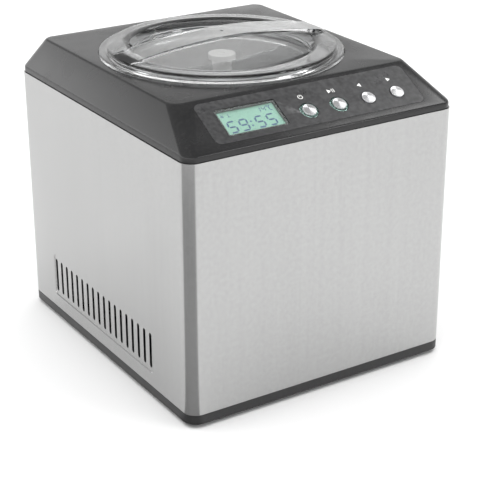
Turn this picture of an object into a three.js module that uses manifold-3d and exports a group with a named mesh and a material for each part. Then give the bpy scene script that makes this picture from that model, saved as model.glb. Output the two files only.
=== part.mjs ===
// A compressor ice cream maker: steel housing, sloping control panel, lift-off clear lid,
// lift-out bowl with a driven paddle, and the cooling circuit and gear drive inside.
// Millimetres, +Z up, front towards -Y, origin on the table under the middle of the housing.
import * as THREE from 'three';
import { ConvexGeometry } from 'three/addons/geometries/ConvexGeometry.js';
import { mergeVertices } from 'three/addons/utils/BufferGeometryUtils.js';
import Module from 'manifold-3d';

const wasm = await Module();
wasm.setup();

// ---------------------------------------------------------------- driving dimensions
const GAP = 0.3; // clearance between pieces that touch
const ROUND = 30; // sides of a large round piece
const SMALL_ROUND = 16; // sides of a small round piece

// Housing
const WIDTH = 270;
const DEPTH = 308;
const CORNER_RADIUS = 12;
const STEEL_WALL = 1.2;
const FOOT_HEIGHT = 4; // air under the base
const FOOT_RADIUS = 11.7;
const FOOT_INSET = 27; // foot centre from the side and front walls
const FOOT_SOCKET = 1;
const BASE_BAND = 8.4; // visible height of the base below the steel
const BASE_FLOOR = 3;
const BASE_UPSTAND = 9; // rib that the steel slips over
const UPSTAND_WALL = 2;

// Side air vents, measured from the front face and from the lower edge of the steel
const VENT_COUNT = 18;
const VENT_FIRST = 68.5;
const VENT_PITCH = 10.82;
const VENT_SLOT_WIDTH = 4;
const VENT_SLOT_HEIGHT = 33.3;
const VENT_SLOT_LIFT = 17.6;
const VENT_FIELD_MARGIN = 5.5; // pressed field around the slots
const VENT_FIELD_DEPTH = 0.8;

// Top cover
const COVER_HEIGHT = 32.8;
const COVER_LIP = 5.4;
const COVER_LIP_INSET = 1;
const COVER_WALL = 2.5;
const COVER_SIDE_INSET = 16.4;
const COVER_BACK_INSET = 18.7;
const COVER_FRONT_INSET = 50;
const COVER_TOP_CORNER = 10;
const COVER_SKIRT = 8; // locating rib inside the steel
const LID_SEAT_DEPTH = 2;
const LID_SEAT_THICKNESS = 3.5;

// Control panel, x from the middle, s down the slope from its upper edge
const PANEL_MIDDLE = 3;
const PANEL_WIDTH = 210;
const PANEL_TOP = 4;
const PANEL_HEIGHT = 45;
const PANEL_CORNER = 6;
const PANEL_THICKNESS = 0.9;
const SCREEN_MIDDLE = -58.25;
const SCREEN_WIDTH = 57.5;
const SCREEN_HEIGHT = 28.3;
const SCREEN_TOP = 14;
const SCREEN_THICKNESS = 0.7;
const SCREEN_LEDGE = 1.5;
const BUTTON_FIRST = -4.7;
const BUTTON_PITCH = 30.35;
const BUTTON_DROP = 33.3;
const BUTTON_RADIUS = 6.25;
const BUTTON_PROUD = 1.4;
const BUTTON_TRAVEL = 0.8;
const BUTTON_CLEARANCE = 0.45;
const RING_WIDTH = 1.4;
const RING_PROUD = 0.35;
const SWITCH_HEIGHT = 1.6;
const BOARD_THICKNESS = 1.6;

// Bowl, paddle and lid, round the paddle's axis
const AXIS_Y = 11.6;
const BOWL_RADIUS = 82; // inside
const BOWL_DEPTH = 112;
const BOWL_WALL = 1.5;
const BOWL_CORNER = 6.5;
const BOWL_FLANGE = 11.5; // rim beyond the outside of the wall
const BOWL_TUBE_HEIGHT = 24;
const RIM_DROP = 4.6; // rim below the top of the cover
const RIM_CLEARANCE = 1.5; // rim to the cover's opening
const POT_CLEARANCE = 0.8; // bowl to the cooling pot
const POT_WALL = 1.5;
const POT_FLANGE = 15.2;
const LID_SEAT_WIDTH = 14.2;
const LID_CLEARANCE = 0.7;
const LID_RIM_WIDTH = 5.8;
const LID_RIM_HEIGHT = 2;
const LID_FLANGE_HEIGHT = 6;
const LID_FLANGE_INSET = 7;
const LID_FLANGE_WIDTH = 19;
const LID_WALL = 1.7;
const LID_FLOOR_DROP = 1.9;
const LID_SKIRT = 9;
const HANDLE_WIDTH = 34;
const HANDLE_RISE = 10.4;
const HANDLE_THICKNESS = 3.2;
const HANDLE_EDGE = 0.6; // height of the band's ends over the flange
const PADDLE_REACH_CLEARANCE = 1.6;
const PADDLE_THICKNESS = 4;
const PADDLE_STEM_RADIUS = 8.75;
const PADDLE_CAP_RADIUS = 12.5;
const PADDLE_CAP_HEIGHT = 5;
const PADDLE_BLADE_HEIGHT = 74;
const PADDLE_LID_CLEARANCE = 0.7;

// Drive
const SHAFT_RADIUS = 6;
const SHAFT_SURROUND = 4.5; // bowl's tube and pot's seal hole, outside the shaft
const SHAFT_GRIP = 13; // hexagon above the bowl's centre tube
const RUNNING_CLEARANCE = 0.3;
const GEAR_MODULE = 1.5;
const GEAR_TEETH = 32;
const PINION_TEETH = 8;
const GEAR_THICKNESS = 8;
const GEARBOX_WALL = 2.5;
const GEARBOX_HEIGHT = 22;
const PINION_SHAFT_RADIUS = 3;
const MOTOR_RADIUS = 27;
const MOTOR_LENGTH = 52;

// Cooling circuit
const BAY_HEIGHT = 119; // base floor to the deck
const DECK_THICKNESS = 2;
const FOAM_FLOOR = 21.3;
const FOAM_WALL = 19;
const COIL_TUBE_RADIUS = 3.2;
const COIL_CLEARANCE = 2.2;
const COIL_TURNS = 4 + 7 / 9;
const COIL_START_ANGLE = THREE.MathUtils.degToRad(125);
const COIL_LIFT = 9; // lowest turn above the pot's floor
const COIL_DROP = 22; // highest turn below the pot's rim
const CAPILLARY_RADIUS = 0.9;
const COMPRESSOR_RADIUS = 46;
const COMPRESSOR_HEIGHT = 92;
const COMPRESSOR_LIFT = 10;
const COMPRESSOR_LEFT = 63; // centre from the left wall
const COMPRESSOR_BACK = 68; // centre from the back wall
const CONDENSER_FINS = 9;
const CONDENSER_LENGTH = 120;
const CONDENSER_HEIGHT = 84;
const CONDENSER_THICKNESS = 22;
const CONDENSER_LIFT = 19;
const CONDENSER_INSET = 19;
const FAN_SIZE = 92;
const FAN_THICKNESS = 22;
const FAN_BLADES = 7;
const FAN_HUB_RADIUS = 15;
const DRIER_RADIUS = 9;

// Back panel
const REAR_WIDTH = 190;
const REAR_HEIGHT = 110;
const REAR_LIFT = 16;
const REAR_FLANGE = 6;
const REAR_THICKNESS = 2.5;
const REAR_SLOTS = 9;
const INLET_WIDTH = 27;
const INLET_HEIGHT = 20;
const SCREW_RADIUS = 1.6;
const SCREW_HEAD_RADIUS = 3.2;
const SCREW_HEAD_HEIGHT = 1.8;
const SCREW_LENGTH = 12;
const POST_SIZE = 12;

// ---------------------------------------------------------------- derived levels and radii
const baseBottom = FOOT_HEIGHT;
const steelBottom = baseBottom + BASE_BAND;
const bayFloor = baseBottom + BASE_FLOOR;
const deckBottom = bayFloor + BAY_HEIGHT;
const deckTop = deckBottom + DECK_THICKNESS;
const potBottom = deckTop + FOAM_FLOOR + 2 * GAP;
const potFloor = potBottom + POT_WALL;
const bowlBottom = potFloor + POT_CLEARANCE;
const bowlFloor = bowlBottom + BOWL_WALL;
const bowlRim = bowlFloor + BOWL_DEPTH;
const coverTop = bowlRim + RIM_DROP;
const steelTop = coverTop - COVER_HEIGHT;
const coverBottom = steelTop + GAP;
const lipTop = steelTop + COVER_LIP;
const seatLevel = coverTop - LID_SEAT_DEPTH;

const bowlOuter = BOWL_RADIUS + BOWL_WALL;
const rimRadius = bowlOuter + BOWL_FLANGE;
const openingRadius = rimRadius + RIM_CLEARANCE;
const seatRadius = openingRadius + LID_SEAT_WIDTH;
const lidRadius = seatRadius - LID_CLEARANCE;
const potRadius = bowlOuter + POT_CLEARANCE;
const potOuter = potRadius + POT_WALL;
const potFlangeRadius = potOuter + POT_FLANGE;
const potFlangeTop = bowlRim - BOWL_WALL - GAP;
const coilRadius = potOuter + COIL_CLEARANCE + COIL_TUBE_RADIUS;
const capillaryRing = coilRadius + COIL_TUBE_RADIUS + 2 * CAPILLARY_RADIUS;
const foamInner = capillaryRing + 2 * CAPILLARY_RADIUS;
const foamOuter = foamInner + FOAM_WALL;
const tubeTop = bowlFloor + BOWL_TUBE_HEIGHT;
const tubeRadius = SHAFT_RADIUS + SHAFT_SURROUND;
const shaftTop = tubeTop + SHAFT_GRIP;

const innerWidth = WIDTH - 2 * STEEL_WALL;
const innerDepth = DEPTH - 2 * STEEL_WALL;
const innerCorner = CORNER_RADIUS - STEEL_WALL;

const gearboxTop = deckBottom - GAP;
const gearboxBottom = gearboxTop - GEARBOX_WALL - GAP - GEARBOX_HEIGHT;
const gearLevel = gearboxBottom + GEARBOX_WALL + 4;
const gearPitchRadius = (GEAR_MODULE * GEAR_TEETH) / 2;
const pinionPitchRadius = (GEAR_MODULE * PINION_TEETH) / 2;
const gearDistance = gearPitchRadius + pinionPitchRadius + GAP;

const compressorX = -WIDTH / 2 + COMPRESSOR_LEFT;
const compressorY = DEPTH / 2 - COMPRESSOR_BACK;
const compressorBottom = bayFloor + COMPRESSOR_LIFT;
const condenserX = WIDTH / 2 - CONDENSER_INSET;
const condenserBottom = bayFloor + CONDENSER_LIFT;
const fanX = condenserX - CONDENSER_THICKNESS / 2 - FAN_THICKNESS / 2 - 4;
const fanZ = condenserBottom + CONDENSER_HEIGHT / 2;
const bossTop = bayFloor + 4;
const posts = [
  [-WIDTH / 2 + 17, -DEPTH / 2 + 59],
  [WIDTH / 2 - 17, -DEPTH / 2 + 59],
  [-REAR_WIDTH / 2 + 12, DEPTH / 2 - 12],
  [REAR_WIDTH / 2 - 12, DEPTH / 2 - 12],
];

const slopeRun = COVER_FRONT_INSET - COVER_LIP_INSET;
const slopeAngle = Math.atan2(COVER_HEIGHT - COVER_LIP, slopeRun);
const slopeTopY = -DEPTH / 2 + COVER_FRONT_INSET;
const buttonNames = ['power_button', 'start_pause_button', 'time_down_button', 'time_up_button'];
const ringedButtons = 2; // the first two buttons have a clear light ring
const ringOuter = BUTTON_RADIUS + BUTTON_CLEARANCE + RING_WIDTH;
const buttonX = (index) => BUTTON_FIRST + index * BUTTON_PITCH;
const switchTop = -COVER_WALL - 5.2;

// ---------------------------------------------------------------- geometry helpers
// A closed three.js geometry as a solid, with its faces turned outwards.
function solid(geometry) {
  const bare = new THREE.BufferGeometry();
  bare.setAttribute('position', geometry.getAttribute('position').clone());
  bare.setIndex(geometry.getIndex());
  const merged = mergeVertices(bare, 1e-4);
  const positions = merged.getAttribute('position').array;
  const corners = merged.getIndex().array;
  const triangles = [];
  let volume = 0;
  for (let i = 0; i < corners.length; i += 3) {
    const [a, b, c] = [corners[i], corners[i + 1], corners[i + 2]];
    if (a === b || b === c || c === a) continue;
    triangles.push(a, b, c);
    const [va, vb, vc] = [a, b, c].map((k) => new THREE.Vector3().fromArray(positions, 3 * k));
    volume += va.dot(vb.cross(vc));
  }
  if (volume < 0) triangles.reverse();
  return new wasm.Manifold(new wasm.Mesh({
    numProp: 3,
    vertProperties: Float32Array.from(positions),
    triVerts: Uint32Array.from(triangles),
  }));
}

// The triangles of a solid as a three.js geometry.
function geometryOf(body) {
  const mesh = body.getMesh();
  const geometry = new THREE.BufferGeometry();
  geometry.setAttribute('position', new THREE.BufferAttribute(mesh.vertProperties, 3));
  geometry.setIndex(new THREE.BufferAttribute(mesh.triVerts, 1));
  const faceted = geometry.toNonIndexed();
  faceted.computeVertexNormals();
  return faceted;
}

function joined(bodies) {
  return bodies.reduce((sum, body) => sum.add(body));
}

function cut(body, tools) {
  return tools.reduce((rest, tool) => rest.subtract(tool), body);
}

function boxAt([x0, y0, z0], [x1, y1, z1]) {
  const box = new THREE.BoxGeometry(x1 - x0, y1 - y0, z1 - z0);
  return solid(box.translate((x0 + x1) / 2, (y0 + y1) / 2, (z0 + z1) / 2));
}

// A round rod standing on z0 at (x, y).
function rod(radius, z0, z1, x = 0, y = 0, sides = SMALL_ROUND) {
  const cylinder = new THREE.CylinderGeometry(radius, radius, z1 - z0, sides);
  return solid(cylinder.rotateX(Math.PI / 2).translate(x, y, (z0 + z1) / 2));
}

// A rod between two x values.
function rodAlongX(radius, x0, x1, y = 0, z = 0, sides = SMALL_ROUND) {
  const cylinder = new THREE.CylinderGeometry(radius, radius, x1 - x0, sides);
  return solid(cylinder.rotateZ(Math.PI / 2).translate((x0 + x1) / 2, y, z));
}

// A rod between two y values.
function rodAlongY(radius, y0, y1, x = 0, z = 0, sides = SMALL_ROUND) {
  const cylinder = new THREE.CylinderGeometry(radius, radius, y1 - y0, sides);
  return solid(cylinder.translate(x, (y0 + y1) / 2, z));
}

// A profile of [radius, height] points turned about Z; it is closed on itself here.
function revolve(profile, sides = ROUND) {
  const points = profile.map(([r, z]) => new THREE.Vector2(r, z));
  const onAxis = profile[0][0] === 0 && profile[profile.length - 1][0] === 0;
  if (!onAxis) points.push(points[0].clone());
  return solid(new THREE.LatheGeometry(points, sides).rotateX(Math.PI / 2));
}

// The quarter arc from one angle to another, as profile points.
function arc(r, z, radius, from, to, steps = 2) {
  return Array.from({ length: steps + 1 }, (_, i) => {
    const angle = THREE.MathUtils.degToRad(from + ((to - from) * i) / steps);
    return [r + radius * Math.cos(angle), z + radius * Math.sin(angle)];
  });
}

function roundedRectangle(width, depth, radius, x = 0, y = 0) {
  const [w, d] = [width / 2 - radius, depth / 2 - radius];
  const shape = new THREE.Shape();
  shape.absarc(x + w, y + d, radius, 0, Math.PI / 2);
  shape.absarc(x - w, y + d, radius, Math.PI / 2, Math.PI);
  shape.absarc(x - w, y - d, radius, Math.PI, 1.5 * Math.PI);
  shape.absarc(x + w, y - d, radius, 1.5 * Math.PI, 2 * Math.PI);
  shape.closePath();
  return shape;
}

function prism(shape, z0, z1, curveSegments = 3) {
  const options = { depth: z1 - z0, bevelEnabled: false, curveSegments, steps: 1 };
  return solid(new THREE.ExtrudeGeometry(shape, options).translate(0, 0, z0));
}

function roundedBlock(width, depth, radius, z0, z1, x = 0, y = 0) {
  return prism(roundedRectangle(width, depth, radius, x, y), z0, z1);
}

// A solid stretched over flat rounded rectangles at several heights.
function stretchedOver(outlines) {
  const points = outlines.flatMap(({ width, depth, radius, y, z }) =>
    roundedRectangle(width, depth, radius, 0, y).getPoints(3)
      .map((p) => new THREE.Vector3(p.x, p.y, z)));
  return solid(new ConvexGeometry(points));
}

// A round tube along a curve.
function tubeAlong(curve, radius, steps, sides = 6) {
  const section = new THREE.Shape();
  section.absarc(0, 0, radius, 0, 2 * Math.PI);
  const options = { extrudePath: curve, steps, curveSegments: sides / 2, bevelEnabled: false };
  return solid(new THREE.ExtrudeGeometry(section, options));
}

function pipe(points, radius, steps) {
  const curve = new THREE.CatmullRomCurve3(points.map((p) => new THREE.Vector3(...p)), false, 'chordal');
  return tubeAlong(curve, radius, steps);
}

// ---------------------------------------------------------------- finishes
function finish(color, roughness, metalness, opacity = 1) {
  return new THREE.MeshStandardMaterial({
    color, roughness, metalness, opacity, transparent: opacity < 1,
  });
}

const finishes = {
  steel: () => finish(0xc4c5c6, 0.35, 1),
  blackPlastic: () => finish(0x3c3d3e, 0.45, 0),
  panel: () => finish(0x2c2d2e, 0.35, 0),
  clear: () => finish(0xe6eaea, 0.06, 0, 0.35),
  screen: () => finish(0x9fd3bb, 0.2, 0, 0.6),
  button: () => finish(0xd6d7d9, 0.25, 1),
  white: () => finish(0xf2f2f0, 0.4, 0),
  aluminium: () => finish(0xb9bbbe, 0.35, 1),
  copper: () => finish(0xb87345, 0.3, 1),
  foam: () => finish(0xe9dfb4, 0.9, 0),
  zinc: () => finish(0xa9abae, 0.45, 1),
  rubber: () => finish(0x1c1c1c, 0.85, 0),
  board: () => finish(0x1f5b3a, 0.5, 0),
  enamel: () => finish(0x222426, 0.4, 0.2),
  nylon: () => finish(0xe4e0d2, 0.5, 0),
};

function piece(name, body, material) {
  const mesh = new THREE.Mesh(geometryOf(body), material);
  mesh.name = name;
  return mesh;
}

// ---------------------------------------------------------------- base and feet
function footPlaces() {
  const [x, y] = [WIDTH / 2 - FOOT_INSET, DEPTH / 2 - FOOT_INSET];
  return { front_left: [-x, -y], front_right: [x, -y], rear_left: [-x, y], rear_right: [x, y] };
}

function baseTray() {
  const upstandWidth = innerWidth - 2 * GAP;
  const upstandDepth = innerDepth - 2 * GAP;
  const upstandCorner = innerCorner - GAP;
  const upstandTop = steelBottom + BASE_UPSTAND;
  const body = joined([
    roundedBlock(WIDTH, DEPTH, CORNER_RADIUS, baseBottom, steelBottom),
    roundedBlock(upstandWidth, upstandDepth, upstandCorner, baseBottom, upstandTop),
  ]);
  const hollow = roundedBlock(
    upstandWidth - 2 * UPSTAND_WALL, upstandDepth - 2 * UPSTAND_WALL,
    upstandCorner - UPSTAND_WALL, bayFloor, upstandTop + 1);
  const bosses = posts.map(([x, y]) => rod(POST_SIZE / 2 + 1, bayFloor - 1, bossTop, x, y, 12));
  const sockets = Object.values(footPlaces())
    .map(([x, y]) => rod(FOOT_RADIUS + GAP, baseBottom - 1, baseBottom + FOOT_SOCKET, x, y));
  const headBores = posts
    .map(([x, y]) => rod(
      SCREW_HEAD_RADIUS + GAP, baseBottom - 1, baseBottom + SCREW_HEAD_HEIGHT + GAP, x, y, 10));
  const shankBores = posts
    .map(([x, y]) => rod(SCREW_RADIUS + GAP, baseBottom - 1, bossTop + 1, x, y, 8));
  const tray = joined([cut(body, [hollow]), ...bosses]);
  return piece('base_tray', cut(tray, [...sockets, ...headBores, ...shankBores]), finishes.blackPlastic());
}

function feet() {
  return Object.entries(footPlaces()).map(([place, [x, y]]) => {
    const top = FOOT_HEIGHT + FOOT_SOCKET - GAP;
    const profile = [[0, 0], [FOOT_RADIUS - 1, 0], [FOOT_RADIUS, 1], [FOOT_RADIUS, top], [0, top]];
    const foot = piece(`foot_${place}`, revolve(profile, SMALL_ROUND), finishes.rubber());
    foot.position.set(x, y, 0);
    return foot;
  });
}

// A pan-head screw with its head's face at z = 0 and its shank along +Z.
function screwBody() {
  return joined([
    rod(SCREW_HEAD_RADIUS, 0, SCREW_HEAD_HEIGHT, 0, 0, 10),
    rod(SCREW_RADIUS, SCREW_HEAD_HEIGHT / 2, SCREW_LENGTH, 0, 0, 6),
  ]);
}

function baseScrews() {
  return posts.map(([x, y], index) => {
    const screw = piece(`base_screw_${index + 1}`, screwBody(), finishes.zinc());
    screw.position.set(x, y, baseBottom);
    return screw;
  });
}

// ---------------------------------------------------------------- steel housing and back panel
function ventSlots(side) {
  const [halfHeight, halfWidth] = [VENT_SLOT_HEIGHT / 2, VENT_SLOT_WIDTH / 2];
  const shoulder = halfHeight - 0.6 * halfWidth;
  const slot = new THREE.Shape([
    [halfHeight, 0], [shoulder, halfWidth], [-shoulder, halfWidth],
    [-halfHeight, 0], [-shoulder, -halfWidth], [shoulder, -halfWidth],
  ].map((p) => new THREE.Vector2(...p)));
  const reach = 6;
  const z = steelBottom + VENT_SLOT_LIFT + VENT_SLOT_HEIGHT / 2;
  return Array.from({ length: VENT_COUNT }, (_, i) => {
    const options = { depth: reach, bevelEnabled: false, steps: 1 };
    const geometry = new THREE.ExtrudeGeometry(slot, options);
    geometry.translate(0, 0, -reach / 2).rotateY(Math.PI / 2);
    const y = -DEPTH / 2 + VENT_FIRST + i * VENT_PITCH;
    return solid(geometry.translate((side * WIDTH) / 2, y, z));
  });
}

// The block of the pressed field round one side's slots, between two x distances from the middle.
function ventField(side, nearX, farX, grow) {
  const y0 = -DEPTH / 2 + VENT_FIRST - VENT_FIELD_MARGIN - grow;
  const y1 = -DEPTH / 2 + VENT_FIRST + (VENT_COUNT - 1) * VENT_PITCH + VENT_FIELD_MARGIN + grow;
  const z0 = steelBottom + VENT_SLOT_LIFT - VENT_FIELD_MARGIN - grow;
  const z1 = steelBottom + VENT_SLOT_LIFT + VENT_SLOT_HEIGHT + VENT_FIELD_MARGIN + grow;
  const xs = [side * nearX, side * farX].sort((a, b) => a - b);
  return boxAt([xs[0], y0, z0], [xs[1], y1, z1]);
}

function rearOpening(grow, y0, y1) {
  const z0 = steelBottom + REAR_LIFT - grow;
  const z1 = steelBottom + REAR_LIFT + REAR_HEIGHT + grow;
  return boxAt([-REAR_WIDTH / 2 - grow, y0, z0], [REAR_WIDTH / 2 + grow, y1, z1]);
}

function steelHousing() {
  const wall = cut(
    roundedBlock(WIDTH, DEPTH, CORNER_RADIUS, steelBottom + GAP, steelTop),
    [roundedBlock(innerWidth, innerDepth, innerCorner, steelBottom, steelTop + 1)]);
  const sides = [-1, 1];
  const pads = sides.map((side) =>
    ventField(side, WIDTH / 2 - STEEL_WALL - VENT_FIELD_DEPTH, WIDTH / 2 - STEEL_WALL / 2, 1));
  const fields = sides.map((side) => ventField(side, WIDTH / 2 - VENT_FIELD_DEPTH, WIDTH / 2 + 1, 0));
  const opening = rearOpening(0, DEPTH / 2 - 2 * STEEL_WALL, DEPTH / 2 + 1);
  const body = cut(joined([wall, ...pads]), [...fields, opening, ...sides.flatMap(ventSlots)]);
  return piece('steel_housing', body, finishes.steel());
}

const inletX = REAR_WIDTH / 2 - 42;
const inletZ = steelBottom + REAR_LIFT + 30;
const rearScrewHeights = [steelBottom + REAR_LIFT + 10, steelBottom + REAR_LIFT + REAR_HEIGHT - 10];

function rearScrewPlaces() {
  return rearScrewHeights.flatMap((z) => [-1, 1].map((side) => [side * (REAR_WIDTH / 2 - 12), z]));
}

function rearPanel() {
  const innerFace = DEPTH / 2 - STEEL_WALL - GAP;
  const back = innerFace - REAR_THICKNESS;
  const field = rearOpening(-GAP, back, DEPTH / 2);
  const flange = rearOpening(REAR_FLANGE, back, innerFace);
  const slotWidth = 84;
  const slotX = -REAR_WIDTH / 2 + 26;
  const slots = Array.from({ length: REAR_SLOTS }, (_, i) => {
    const z = steelBottom + REAR_LIFT + 14 + i * 10;
    return boxAt([slotX, back - 1, z], [slotX + slotWidth, DEPTH / 2 + 1, z + 4]);
  });
  const inletHole = boxAt(
    [inletX - INLET_WIDTH / 2 - GAP, back - 1, inletZ - INLET_HEIGHT / 2 - GAP],
    [inletX + INLET_WIDTH / 2 + GAP, DEPTH / 2 + 1, inletZ + INLET_HEIGHT / 2 + GAP]);
  const bores = rearScrewPlaces().flatMap(([x, z]) => [
    rodAlongY(SCREW_HEAD_RADIUS + GAP, DEPTH / 2 - SCREW_HEAD_HEIGHT - 0.6, DEPTH / 2 + 1, x, z, 10),
    rodAlongY(SCREW_RADIUS + GAP, back - 1, DEPTH / 2, x, z, 8),
  ]);
  const body = cut(joined([field, flange]), [...slots, inletHole, ...bores]);
  return piece('rear_panel', body, finishes.blackPlastic());
}

function rearScrews() {
  return rearScrewPlaces().map(([x, z], index) => {
    const screw = piece(`rear_screw_${index + 1}`, screwBody(), finishes.zinc());
    screw.position.set(x, DEPTH / 2 - 0.3, z);
    screw.rotation.x = Math.PI / 2;
    return screw;
  });
}

// The socket for a mains lead: a cup with three blades in one moulding.
function mainsInlet() {
  const [w, h] = [INLET_WIDTH / 2, INLET_HEIGHT / 2];
  const front = DEPTH / 2 - 0.2;
  const depth = 20;
  const body = boxAt([inletX - w, front - depth, inletZ - h], [inletX + w, front, inletZ + h]);
  const mouth = boxAt(
    [inletX - w + 1.5, front - depth + 2, inletZ - h + 2], [inletX + w - 1.5, front + 1, inletZ + h - 2]);
  const blades = [-7, 0, 7].map((x) =>
    boxAt([inletX + x - 1, front - depth + 1, inletZ - 2], [inletX + x + 1, front - 4, inletZ + 2]));
  return piece('mains_inlet', joined([cut(body, [mouth]), ...blades]), finishes.blackPlastic());
}

// ---------------------------------------------------------------- top cover
// The cover's outline at a height, drawn in by a wall of the stated thickness.
function coverStretch(wall) {
  const rise = COVER_HEIGHT - COVER_LIP;
  const drawIn = (run) => wall * Math.tan(Math.atan2(rise, run - COVER_LIP_INSET) / 2);
  const [side, front, back] = [COVER_SIDE_INSET, COVER_FRONT_INSET, COVER_BACK_INSET]
    .map((inset) => inset + drawIn(inset));
  const lip = {
    width: WIDTH - 2 * (COVER_LIP_INSET + wall),
    depth: DEPTH - 2 * (COVER_LIP_INSET + wall),
    radius: CORNER_RADIUS - COVER_LIP_INSET - wall,
    y: 0,
  };
  return stretchedOver([
    { ...lip, z: wall ? coverBottom - 1 : coverBottom },
    { ...lip, z: wall ? lipTop - 0.65 * wall : lipTop },
    {
      width: WIDTH - 2 * side,
      depth: DEPTH - front - back,
      radius: COVER_TOP_CORNER - wall / 2,
      y: (front - back) / 2,
      z: coverTop - wall,
    },
  ]);
}

const panelPlace = new THREE.Matrix4().makeRotationX(slopeAngle).setPosition(0, slopeTopY, coverTop);

// A flat shape on the control slope, between two heights over its surface.
function onSlope(shape, w0, w1, curveSegments = 2) {
  const options = { depth: w1 - w0, bevelEnabled: false, curveSegments, steps: 1 };
  return solid(new THREE.ExtrudeGeometry(shape, options).translate(0, 0, w0).applyMatrix4(panelPlace));
}

function panelOutline(grow) {
  const y = -PANEL_TOP - PANEL_HEIGHT / 2;
  return roundedRectangle(
    PANEL_WIDTH + 2 * grow, PANEL_HEIGHT + 2 * grow, PANEL_CORNER + grow, PANEL_MIDDLE, y);
}

function screenOutline(grow) {
  const y = -SCREEN_TOP - SCREEN_HEIGHT / 2;
  return roundedRectangle(
    SCREEN_WIDTH + 2 * grow, SCREEN_HEIGHT + 2 * grow, 1.6 + Math.max(grow, -1), SCREEN_MIDDLE, y);
}

function buttonOutline(index, radius) {
  const shape = new THREE.Shape();
  shape.absarc(buttonX(index), -BUTTON_DROP, radius, 0, 2 * Math.PI);
  return shape;
}

function topCover() {
  const skirtWidth = innerWidth - 2 * GAP;
  const skirtDepth = innerDepth - 2 * GAP;
  const skirtCorner = innerCorner - GAP;
  const skirt = cut(
    roundedBlock(skirtWidth, skirtDepth, skirtCorner, coverBottom - COVER_SKIRT, coverBottom + 1.5),
    [roundedBlock(
      skirtWidth - 2 * UPSTAND_WALL, skirtDepth - 2 * UPSTAND_WALL, skirtCorner - UPSTAND_WALL,
      coverBottom - COVER_SKIRT - 1, coverBottom + 2)]);
  const seat = revolve([
    [openingRadius, seatLevel - LID_SEAT_THICKNESS],
    [seatRadius + 2, seatLevel - LID_SEAT_THICKNESS],
    [seatRadius + 2, coverTop - COVER_WALL / 2],
    [openingRadius, coverTop - COVER_WALL / 2],
  ]).translate([0, AXIS_Y, 0]);
  const shell = cut(coverStretch(0), [coverStretch(COVER_WALL)]);
  const stubs = [0, 1, 2].map((i) => {
    const stub = new THREE.Shape();
    stub.absarc(buttonX(i) + BUTTON_PITCH / 2, -BUTTON_DROP, 2.5, 0, 2 * Math.PI);
    return onSlope(stub, switchTop - SWITCH_HEIGHT + GAP, -COVER_WALL / 2, 4);
  });
  const tools = [
    rod(openingRadius, seatLevel - 20, coverTop + 1, 0, AXIS_Y, ROUND),
    rod(seatRadius, seatLevel, coverTop + 1, 0, AXIS_Y, ROUND),
    onSlope(panelOutline(GAP), -PANEL_THICKNESS - GAP, 3),
    onSlope(screenOutline(-SCREEN_LEDGE), -12, 3),
    ...buttonNames.map((_, i) => onSlope(buttonOutline(i, BUTTON_RADIUS + BUTTON_CLEARANCE), -6, 3, 7)),
  ];
  const body = cut(joined([shell, skirt, seat, ...stubs]), tools);
  return piece('top_cover', body, finishes.blackPlastic());
}

// ---------------------------------------------------------------- control panel
// Pieces here lie in the slope's own frame: x across, y up the slope, z out of it.
function flat(shape, z0, z1, curveSegments = 2) {
  return prism(shape, z0, z1, curveSegments);
}

function controlPanel() {
  const group = new THREE.Group();
  group.rotation.x = slopeAngle;
  group.position.set(0, slopeTopY, coverTop);

  const holes = buttonNames.map((_, i) => {
    const radius = i < ringedButtons ? ringOuter + GAP : BUTTON_RADIUS + BUTTON_CLEARANCE;
    return flat(buttonOutline(i, radius), -3, 3, 7);
  });
  const overlay = cut(
    flat(panelOutline(0), -PANEL_THICKNESS, 0), [flat(screenOutline(GAP), -3, 3), ...holes]);
  group.add(piece('control_panel', overlay, finishes.panel()));

  const glass = flat(screenOutline(0), -PANEL_THICKNESS, -PANEL_THICKNESS + SCREEN_THICKNESS);
  group.add(piece('screen_window', glass, finishes.screen()));

  const moduleTop = -COVER_WALL - 2 * GAP;
  const display = flat(screenOutline(2.5), moduleTop - 5, moduleTop);
  group.add(piece('display_module', display, finishes.board()));

  for (let i = 0; i < ringedButtons; i += 1) {
    const inner = flat(buttonOutline(i, BUTTON_RADIUS + BUTTON_CLEARANCE), -3, 3, 7);
    const ring = cut(flat(buttonOutline(i, ringOuter), -PANEL_THICKNESS, RING_PROUD, 7), [inner]);
    group.add(piece(`${buttonNames[i]}_light_ring`, ring, finishes.clear()));
  }

  buttonNames.forEach((name, i) => {
    const flangeTop = -COVER_WALL - GAP;
    const foot = switchTop + BUTTON_TRAVEL + GAP;
    const profile = [
      [0, foot], [2, foot], [2, flangeTop - 1], [BUTTON_RADIUS + 1.4, flangeTop - 1],
      [BUTTON_RADIUS + 1.4, flangeTop], [BUTTON_RADIUS, flangeTop], [BUTTON_RADIUS, BUTTON_PROUD],
      [0, BUTTON_PROUD],
    ];
    const cap = piece(name, revolve(profile, SMALL_ROUND), finishes.button());
    cap.position.set(buttonX(i), -BUTTON_DROP, 0);
    group.add(cap);
  });

  const boardTop = switchTop - SWITCH_HEIGHT;
  const boardLeft = buttonX(0) - 12;
  const boardRight = buttonX(buttonNames.length - 1) + 12;
  const board = boxAt(
    [boardLeft, -BUTTON_DROP - 12, boardTop - BOARD_THICKNESS], [boardRight, -BUTTON_DROP + 12, boardTop]);
  const switches = buttonNames.map((_, i) => boxAt(
    [buttonX(i) - 3, -BUTTON_DROP - 3, boardTop - 0.5], [buttonX(i) + 3, -BUTTON_DROP + 3, switchTop]));
  group.add(piece('control_board', joined([board, ...switches]), finishes.board()));
  return group;
}

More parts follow.
